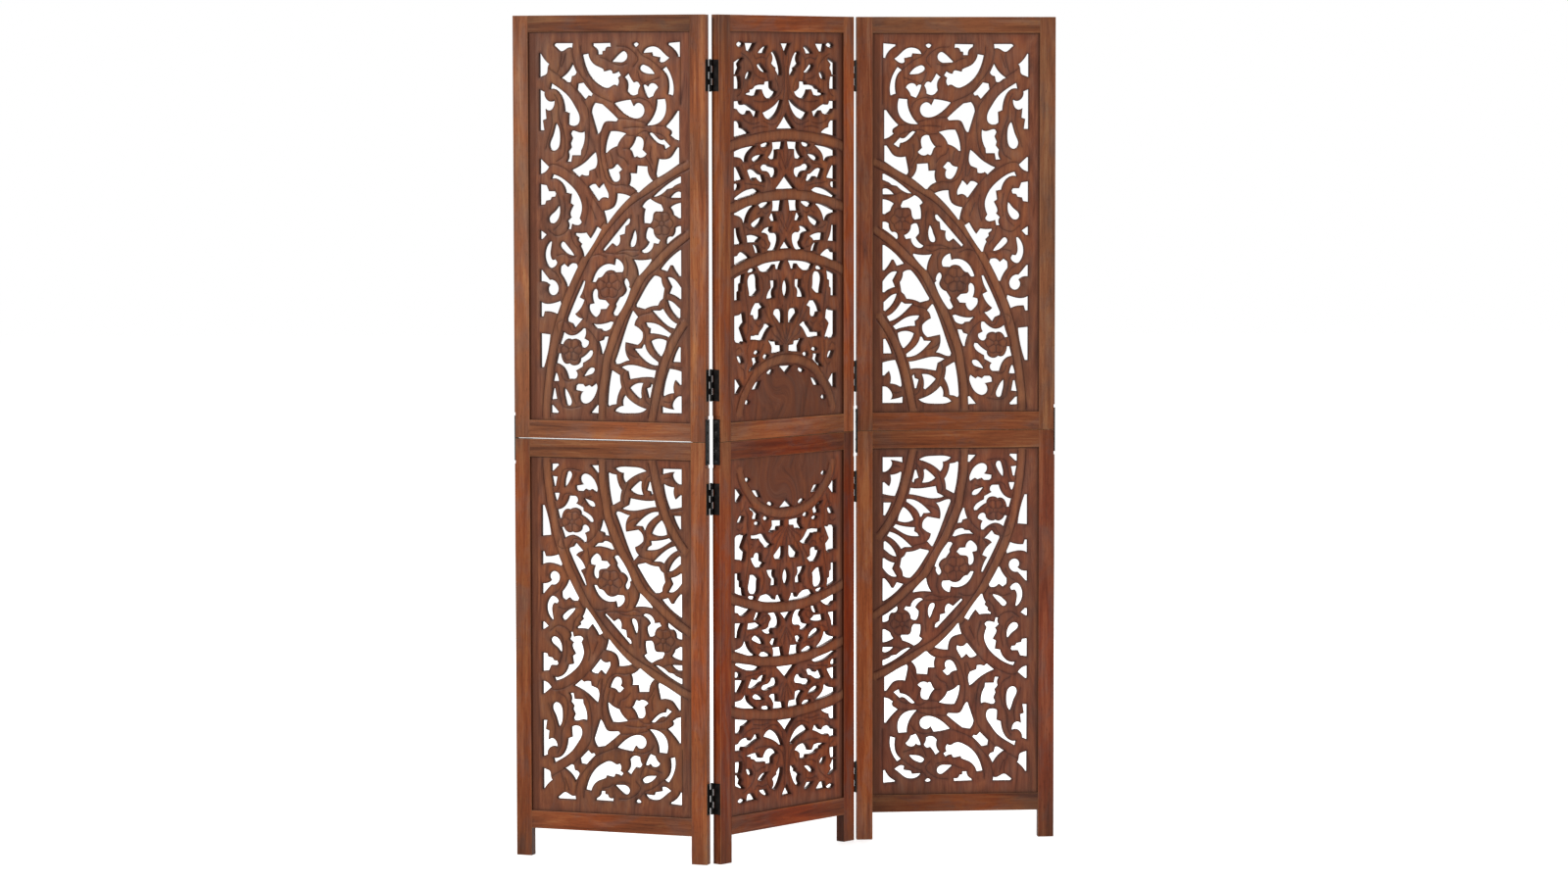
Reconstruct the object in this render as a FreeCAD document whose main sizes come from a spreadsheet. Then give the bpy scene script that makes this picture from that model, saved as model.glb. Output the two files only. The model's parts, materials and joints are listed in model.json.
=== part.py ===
import FreeCAD, Part

import os
import re

from FreeCAD import Placement, Rotation, Vector

os.makedirs("parts", exist_ok=True)
doc = FreeCAD.newDocument("folding_screen")

# Driving dimensions in millimetres, and the fold angles at rest in degrees.
dimensions = (
    ("panel_width", 400),
    ("screen_height", 1650),
    ("joint_height", 825),
    ("section_gap", 0.8),
    ("frame_thickness", 20),
    ("stile_width", 32),
    ("foot_height", 55),
    ("lower_bottom_rail_height", 35),
    ("lower_top_rail_height", 35),
    ("upper_bottom_rail_height", 36),
    ("upper_top_rail_height", 32),
    ("tenon_length", 14),
    ("tenon_thickness", 8),
    ("tenon_shoulder", 3),
    ("tenon_clearance", 0.1),
    ("board_thickness", 10),
    ("groove_depth", 6),
    ("groove_clearance", 0.15),
    ("board_end_clearance", 0.3),
    ("side_outer_margin", 22),
    ("side_inner_margin", 20),
    ("side_upper_joint_margin", 19),
    ("side_upper_far_margin", 17),
    ("side_lower_joint_margin", 18),
    ("side_lower_far_margin", 20),
    ("middle_side_margin", 16),
    ("middle_upper_joint_margin", 31),
    ("middle_upper_far_margin", 17),
    ("middle_lower_joint_margin", 38),
    ("middle_lower_far_margin", 20),
    ("plate_length", 88),
    ("plate_width", 16),
    ("plate_thickness", 3),
    ("plate_recess_length", 100),
    ("plate_recess_depth", 2),
    ("plate_near_screw", 17.5),
    ("plate_far_screw", 39),
    ("plate_screw_head_radius", 3.5),
    ("plate_screw_head_height", 1.2),
    ("plate_screw_shank_radius", 1.75),
    ("screw_tip_clearance", 2),
    ("hinge_length", 61),
    ("hinge_foot_height", 128),
    ("hinge_below_joint", 111),
    ("hinge_above_joint", 110),
    ("hinge_below_top", 117),
    ("leaf_thickness", 1.2),
    ("leaf_margin", 1.5),
    ("leaf_cutout", 3),
    ("barrel_radius", 2.6),
    ("knuckle_gap", 0.3),
    ("pin_radius", 1.5),
    ("pin_clearance", 0.05),
    ("pin_head_radius", 2.2),
    ("pin_head_height", 0.9),
    ("pin_setback", 2.75),
    ("pin_stand_off", 1),
    ("hinge_screw_spacing", 22),
    ("hinge_screw_head_radius", 2.8),
    ("hinge_screw_shank_radius", 1.4),
    ("hinge_screw_length", 15),
    ("screw_clearance", 0.05),
    ("overrun", 5),
    ("left_panel_turn", -20),
    ("middle_panel_turn", 48),
    ("right_panel_turn", 5),
)
sheet = doc.addObject("Spreadsheet::Sheet", "sizes")
for row, (alias, value) in enumerate(dimensions, start=1):
    sheet.set(f"A{row}", alias)
    sheet.set(f"B{row}", str(value))
    sheet.setAlias(f"B{row}", alias)
doc.recompute()

# The outlines of the carved openings are shares of the carved field: across it from the
# panel's outer side, and along it from the edge beside the joint to the far edge.
# Each opening is a ring of runs. A run starts at a corner, passes smoothly through its
# points and ends where the next run starts.
side_opening_shares = (
    (((.102, .989),), ((.112, .993),), ((.236, .993),),
     ((.232, .981), (.198, .980), (.158, .972), (.126, .980))),
    (((0, .966),), ((.008, .966), (.030, .952)),
     ((.068, .937), (.056, .925), (.050, .912), (.025, .906)), ((0, .902),)),
    (((.152, .900), (.180, .908), (.208, .920)), ((.235, .939), (.250, .926)),
     ((.263, .915), (.255, .909)), ((.230, .905),), ((.222, .890), (.208, .888), (.178, .895))),
    (((.083, .886), (.130, .874), (.175, .861), (.215, .845), (.255, .820), (.282, .796),
      (.270, .775), (.240, .771)), ((.204, .777), (.205, .792)), ((.208, .806),),
     ((.178, .811), (.172, .830), (.155, .851), (.120, .868)), ((.074, .870),)),
    (((0, .868),), ((.034, .862), (.044, .844), (.065, .837)),
     ((.104, .840), (.100, .825), (.084, .815)), ((.040, .817),), ((.046, .790),), ((.021, .786),),
     ((.031, .759),), ((0, .759),)),
    (((.305, .962),), ((.347, .965), (.362, .948), (.395, .934), (.440, .926)), ((.453, .923),),
     ((.456, .917), (.480, .919), (.505, .920)), ((.518, .911), (.535, .912)), ((.560, .918),),
     ((.577, .907),), ((.556, .900), (.562, .888)),
     ((.550, .878), (.525, .881), (.500, .875), (.475, .873), (.435, .879), (.395, .890),
      (.355, .908), (.325, .932))),
    (((.378, .992),), ((.503, .993),), ((.506, .983), (.474, .981)), ((.466, .973),), ((.447, .972),),
     ((.446, .963),), ((.414, .963), (.408, .976)), ((.380, .986),)),
    (((.518, .946), (.545, .957), (.570, .966), (.597, .971), (.619, .964), (.618, .951),
      (.595, .943), (.555, .942)),),
    (((.664, .990), (.683, .994)), ((.703, .990), (.684, .983))),
    (((.732, .966), (.750, .977), (.790, .983), (.830, .981), (.875, .967)),
     ((.917, .953), (.890, .944), (.868, .941)), ((.846, .945),), ((.850, .955),), ((.800, .959),),
     ((.793, .968),)),
    (((.910, .992),), ((.992, .995),), ((.992, .956),), ((.980, .955), (.955, .974)), ((.910, .988),)),
    (((.808, .910), (.765, .911), (.725, .917), (.709, .926), (.725, .934), (.755, .932), (.790, .923)),),
    (((.895, .930), (.920, .914), (.940, .893), (.948, .872)), ((.943, .852),),
     ((.908, .857), (.913, .878), (.904, .902)), ((.868, .922),)),
    (((.601, .902),), ((.630, .912), (.645, .900)), ((.667, .887), (.690, .889)),
     ((.712, .878), (.700, .868)), ((.697, .857), (.660, .853)),
     ((.620, .866), (.625, .880), (.618, .893))),
    (((.731, .880), (.748, .881)), ((.765, .876), (.790, .885), (.825, .881)),
     ((.838, .873), (.814, .861)), ((.804, .851),), ((.768, .845), (.750, .858))),
    (((.272, .884),), ((.312, .887), (.340, .873)), ((.377, .857),), ((.368, .851),), ((.348, .853),),
     ((.325, .842), (.292, .857)), ((.266, .869),)),
    (((.530, .832), (.590, .838)), ((.645, .841),),
     ((.665, .824), (.705, .832), (.733, .824), (.740, .807), (.720, .795), (.685, .791),
      (.640, .795), (.585, .809))),
    (((.828, .841),), ((.887, .843), (.895, .822), (.882, .797), (.845, .780), (.795, .773)),
     ((.756, .773), (.800, .796), (.822, .818))),
    (((.392, .833),), ((.445, .829), (.500, .810)), ((.555, .789),),
     ((.545, .783), (.500, .784), (.462, .781), (.445, .770)), ((.418, .750),),
     ((.408, .751), (.388, .778)), ((.366, .807), (.374, .822))),
    (((.972, .811),), ((.986, .811),), ((.986, .732),), ((.955, .736),), ((.923, .746), (.930, .752)),
     ((.925, .760),), ((.890, .770), (.935, .790))),
    (((.122, .776), (.136, .765), (.143, .745), (.141, .725), (.125, .709), (.095, .704),
      (.072, .712), (.068, .722), (.085, .740), (.103, .763)),),
    (((.217, .750),), ((.226, .757), (.250, .757), (.280, .753)),
     ((.317, .757), (.319, .740), (.308, .718)), ((.293, .705),), ((.290, .692),), ((.230, .692),),
     ((.222, .674),), ((.192, .675), (.205, .692)), ((.200, .701),), ((.222, .713),), ((.215, .723),),
     ((.230, .738),)),
    (((.397, .701), (.405, .685), (.405, .668)), ((.392, .657),), ((.350, .650),),
     ((.347, .638), (.318, .637)), ((.298, .640),), ((.278, .633),),
     ((.226, .652), (.285, .664), (.335, .679), (.370, .693))),
    (((.499, .756), (.550, .756)), ((.612, .750), (.580, .738)), ((.550, .717), (.510, .710)),
     ((.475, .698),), ((.463, .699), (.470, .724))),
    (((.678, .740), (.700, .742), (.728, .736), (.735, .722)), ((.727, .707),),
     ((.756, .696), (.735, .688), (.710, .686)), ((.688, .690), (.667, .688), (.655, .697)),
     ((.634, .709), (.660, .722))),
    (((.774, .751),), ((.788, .753), (.820, .744), (.855, .733)), ((.878, .735),), ((.921, .717),),
     ((.886, .708),), ((.876, .721), (.840, .725), (.800, .738))),
    (((.970, .713),), ((.985, .713),), ((.985, .670), (.930, .655), (.880, .642)),
     ((.835, .633), (.823, .638), (.824, .650), (.832, .668)),
     ((.840, .683), (.880, .681), (.920, .686), (.945, .698))),
    (((.482, .654), (.515, .657)), ((.535, .666),), ((.553, .668),), ((.583, .654),),
     ((.560, .646), (.568, .635), (.560, .624), (.530, .621), (.503, .631))),
    (((.687, .664),), ((.762, .662), (.770, .641)), ((.799, .624), (.745, .607)), ((.705, .593),),
     ((.690, .593), (.660, .606)), ((.630, .612), (.640, .625)), ((.637, .644),), ((.682, .643),)),
    (((0, .680),), ((.010, .680),), ((.063, .660), (.025, .644)), ((0, .641),)),
    (((.093, .640), (.150, .631), (.205, .615), (.250, .597), (.285, .573), (.297, .553), (.293, .538)),
     ((.280, .522),), ((.294, .512), (.275, .504), (.250, .504)), ((.226, .507),), ((.218, .492),),
     ((.196, .493), (.203, .504)), ((.193, .514),), ((.220, .525), (.210, .532), (.222, .548)),
     ((.234, .558),), ((.212, .564),), ((.220, .588),), ((.184, .591), (.165, .612), (.135, .625)),
     ((.080, .628),)),
    (((0, .613),), ((.046, .610),), ((.062, .594),), ((.104, .594),), ((.113, .588),), ((.106, .580),),
     ((.082, .579),), ((.072, .571),), ((.042, .569),), ((.034, .559),), ((0, .557),)),
    (((.138, .554), (.140, .537), (.124, .518), (.095, .508), (.068, .511), (.060, .520),
      (.085, .534), (.113, .545)),),
    (((.345, .607), (.368, .613)), ((.396, .614),), ((.418, .603), (.437, .612)),
     ((.453, .617), (.475, .598), (.487, .583)), ((.483, .576), (.450, .579)), ((.420, .570),),
     ((.411, .570),)),
    (((.545, .589), (.600, .587)), ((.642, .581), (.560, .548)), ((.480, .508),),
     ((.470, .508), (.461, .528)), ((.450, .542), (.485, .545), (.520, .553), (.540, .570))),
    (((.985, .635),), ((.997, .635),), ((.997, .619),), ((.955, .612),), ((.935, .605),),
     ((.900, .602), (.870, .591)), ((.825, .582),), ((.800, .581), (.850, .599), (.920, .620))),
    (((.922, .579), (.945, .589), (.980, .595)), ((.997, .593),), ((.996, .579),)),
    (((.780, .576), (.815, .567)), ((.858, .560),), ((.873, .547),), ((.868, .542),),
     ((.820, .542), (.803, .535), (.797, .521)), ((.778, .509),), ((.735, .511), (.733, .523)),
     ((.743, .548),), ((.722, .555), (.750, .569))),
    (((.921, .553), (.955, .561)), ((.997, .565),), ((.997, .525),), ((.982, .524),), ((.944, .534),),
     ((.937, .543),)),
    (((0, .488),), ((.012, .486),), ((.043, .477),), ((.015, .465),), ((0, .465),)),
    (((.068, .458),), ((.081, .458), (.073, .437), (.075, .415)), ((.086, .408),), ((.107, .410),),
     ((.118, .402), (.088, .388), (.073, .387), (.045, .398), (.031, .418), (.037, .438))),
    (((.234, .421), (.190, .427), (.158, .438), (.141, .450), (.158, .458), (.190, .448), (.220, .434)),),
    (((.250, .482), (.290, .481)), ((.328, .483),), ((.355, .468), (.383, .485)), ((.403, .500),),
     ((.436, .492), (.395, .463)), ((.320, .419),), ((.307, .419), (.300, .432)), ((.284, .446),),
     ((.292, .453),), ((.268, .463),), ((.272, .470),), ((.248, .478),)),
    (((.622, .522),), ((.637, .521), (.634, .511)), ((.606, .502),), ((.600, .481),),
     ((.564, .477), (.567, .462), (.555, .451)), ((.540, .448),), ((.512, .456),), ((.455, .433),),
     ((.445, .438),)),
    (((.675, .491), (.684, .475), (.680, .458), (.663, .447), (.641, .447), (.637, .455),
      (.650, .470), (.662, .485)),),
    (((.762, .497), (.776, .498)), ((.803, .492), (.812, .477)), ((.850, .465),), ((.838, .455),),
     ((.803, .457), (.795, .444), (.765, .432), (.730, .431)), ((.717, .436), (.750, .446)),
     ((.770, .459),), ((.747, .470), (.751, .487))),
    (((.954, .497), (.975, .502)), ((.997, .502),), ((.997, .484), (.950, .471)), ((.900, .454),),
     ((.893, .458), (.903, .472)), ((.933, .474), (.948, .482))),
    (((.142, .391),), ((.168, .399),), ((.194, .390), (.220, .399)), ((.258, .398),),
     ((.266, .390), (.230, .362)), ((.200, .337),), ((.188, .338), (.168, .357)),
     ((.140, .373), (.139, .382))),
    (((0, .382),), ((.012, .380), (.040, .366)),
     ((.065, .354), (.098, .352), (.122, .341), (.127, .328), (.113, .317), (.083, .313),
      (.060, .319), (.052, .330)), ((.064, .340), (.045, .347)), ((0, .350),)),
    (((0, .295), (.040, .289), (.090, .291)), ((.140, .298),), ((.145, .290),),
     ((.118, .262), (.075, .268)), ((.028, .269),), ((.018, .255),), ((0, .255),)),
    (((.305, .353),), ((.318, .352), (.310, .337)), ((.278, .308),), ((.311, .301), (.285, .279)),
     ((.245, .263), (.265, .255)), ((.298, .250),), ((.245, .225),), ((.225, .238),), ((.192, .243),),
     ((.190, .250), (.220, .279), (.260, .315))),
    (((.367, .352), (.380, .366), (.410, .385), (.450, .396)), ((.525, .396),),
     ((.533, .414), (.578, .403), (.591, .390)), ((.583, .378),),
     ((.535, .377), (.500, .383), (.465, .378), (.445, .368)), ((.412, .362),), ((.392, .350),),
     ((.375, .350),)),
    (((.659, .412), (.725, .410)), ((.787, .414),), ((.788, .409), (.735, .382)), ((.703, .369),),
     ((.694, .370), (.685, .390))),
    (((.393, .332), (.406, .326), (.407, .313)), ((.420, .303),), ((.462, .301),), ((.488, .290),),
     ((.468, .278),), ((.426, .277), (.414, .262), (.393, .256), (.368, .262), (.345, .276)),
     ((.347, .289),), ((.378, .292), (.367, .310), (.374, .326))),
    (((.598, .358), (.606, .361), (.622, .356)), ((.626, .339),),
     ((.640, .333), (.615, .306), (.570, .273)), ((.547, .260),), ((.525, .260),), ((.513, .266),),
     ((.535, .284),), ((.532, .291),), ((.560, .309), (.590, .316), (.608, .331), (.592, .350))),
    (((.803, .368), (.830, .368)), ((.858, .362), (.865, .345)), ((.879, .335), (.872, .318)),
     ((.868, .308),), ((.848, .301),), ((.833, .289), (.790, .287)), ((.740, .279),), ((.680, .285),),
     ((.676, .290), (.720, .321), (.765, .350))),
    (((.898, .364), (.930, .364), (.965, .354)), ((.997, .337),), ((.997, .308),),
     ((.985, .307), (.945, .318)), ((.912, .322),), ((.930, .340),)),
    (((.985, .438),), ((.997, .438),), ((.997, .369),), ((.983, .369), (.957, .382)), ((.935, .398),),
     ((.922, .398),), ((.900, .381),), ((.852, .387), (.915, .416))),
    (((.900, .303), (.925, .301), (.965, .289)), ((.990, .280),), ((.990, .258),),
     ((.980, .255), (.940, .270))),
    (((.792, .275),), ((.845, .275),), ((.868, .281), (.890, .267), (.925, .251)), ((.967, .240),),
     ((.950, .227), (.905, .234), (.855, .249))),
    (((.745, .242), (.785, .242), (.835, .237), (.880, .226)), ((.925, .213),),
     ((.907, .204), (.860, .210)), ((.773, .214),), ((.777, .227),), ((.755, .233),)),
    (((.650, .273),), ((.660, .273),), ((.692, .257), (.672, .245)), ((.666, .234), (.690, .229)),
     ((.724, .216), (.722, .199)), ((.688, .182),), ((.603, .189), (.601, .166), (.613, .150)),
     ((.632, .140), (.600, .137), (.565, .131)), ((.532, .130),),
     ((.526, .137), (.575, .193), (.615, .240))),
    (((0, .209),), ((.067, .206), (.055, .170)), ((.020, .117),), ((0, .117),)),
    (((.137, .182), (.152, .200)), ((.163, .215), (.190, .207), (.225, .204), (.262, .210)),
     ((.300, .224),), ((.318, .224), (.322, .213)), ((.309, .197),),
     ((.341, .190), (.332, .177), (.312, .172)), ((.285, .180), (.275, .191), (.245, .196)),
     ((.220, .193), (.195, .196), (.172, .190)), ((.158, .180),)),
    (((.345, .164),), ((.366, .165),), ((.371, .159), (.350, .144), (.318, .135)), ((.300, .131),),
     ((.298, .121),), ((.247, .109), (.260, .101), (.254, .091)), ((.240, .087),),
     ((.196, .087), (.182, .105), (.155, .121)), ((.110, .129),), ((.125, .155),),
     ((.143, .155), (.152, .139), (.170, .129)), ((.205, .129), (.235, .123), (.262, .126)),
     ((.280, .142), (.310, .150))),
    (((.306, .096), (.330, .110), (.360, .118), (.381, .116), (.375, .106), (.345, .099)),),
    (((.372, .237), (.430, .236), (.465, .239)), ((.498, .244),), ((.518, .242),),
     ((.500, .226), (.470, .219), (.445, .219)), ((.432, .224),), ((.400, .225),)),
    (((.452, .202),), ((.482, .203), (.465, .178)), ((.444, .157),), ((.433, .156), (.426, .172)),
     ((.412, .189),), ((.443, .193),)),
    (((.089, .080), (.096, .095), (.107, .103), (.119, .095)), ((.126, .080),)),
    (((.074, .030),), ((.088, .060),), ((.100, .060),), ((.113, .032),)),
    (((.172, .061), (.190, .052), (.208, .038), (.218, .024), (.207, .015), (.190, .015),
      (.176, .028), (.166, .050)),),
    (((.072, .015),), ((.085, .014),), ((.124, -0.003),), ((.118, -0.007),), ((.072, -0.006),)),
    (((.398, .017),), ((.411, .016),), ((.408, -0.005),), ((.356, -0.004),)),
    (((.248, .068),), ((.262, .073),), ((.300, .073),), ((.315, .066),), ((.343, .071),),
     ((.360, .066),),
     ((.393, .076), (.400, .070), (.393, .052), (.370, .034), (.338, .023), (.305, .021),
      (.280, .029), (.277, .039)), ((.297, .053),), ((.245, .057),)),
    (((.502, .112),), ((.513, .111),), ((.562, .099), (.568, .075)), ((.573, .067), (.550, .048)),
     ((.537, .021),), ((.505, .019),), ((.480, .014),), ((.473, .020), (.478, .050), (.493, .095))),
    (((.572, .121), (.610, .126), (.660, .127), (.720, .122)), ((.817, .114),),
     ((.806, .094), (.755, .096), (.700, .094)), ((.630, .089),), ((.619, .110),)),
    (((.632, .065), (.665, .075)), ((.727, .079), (.714, .062)), ((.716, .040),),
     ((.703, .037), (.665, .050))),
    (((.749, .064),), ((.775, .068),), ((.782, .079),), ((.794, .074),), ((.787, .062),),
     ((.776, .040),), ((.765, .040),)),
    (((.525, .003), (.550, .012)), ((.582, .016), (.583, .035)),
     ((.600, .046), (.625, .035), (.665, .023)),
     ((.749, .009), (.710, 0), (.640, -0.003), (.560, -0.002))),
    (((.782, .192), (.815, .198), (.855, .199)), ((.893, .194), (.885, .177)), ((.858, .153),),
     ((.848, .153), (.810, .169))),
    (((.664, .171),), ((.713, .172),), ((.727, .183),), ((.740, .183), (.760, .163), (.795, .148)),
     ((.834, .136),), ((.833, .128), (.785, .130), (.730, .143))),
    (((.978, .178),), ((.992, .177),), ((.991, .138),), ((.936, .138), (.955, .160))),
    (((.910, .119), (.950, .117)), ((.997, .112),), ((.997, .077),), ((.985, .076),),
     ((.953, .089), (.941, .073)), ((.945, .054), (.905, .051)), ((.872, .044),),
     ((.865, .048), (.880, .082))),
    (((.859, .017), (.900, .012)), ((.942, .009), (.930, .020), (.945, .035), (.970, .044)),
     ((.997, .045),), ((.997, 0),), ((.860, 0),)),
)

# Openings of a middle board that lie on its centre line.
middle_centre_opening_shares = (
    (((.449, .994),), ((.551, .994), (.531, .980)), ((.505, .960),), ((.495, .960), (.469, .980))),
    (((.403, .757), (.452, .777)), ((.500, .803), (.548, .777)), ((.597, .757),)),
    (((.393, .591), (.445, .611)), ((.500, .634), (.555, .611)), ((.607, .591),)),
    (((.437, .426), (.468, .439)), ((.500, .457), (.532, .439)), ((.563, .426),)),
    (((.500, .346), (.530, .332), (.537, .318), (.530, .302)),
     ((.500, .288), (.470, .302), (.463, .318), (.470, .332))),
    (((.430, .103),), ((.570, .103), (.538, .092)), ((.500, .077), (.462, .092))),
)
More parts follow.
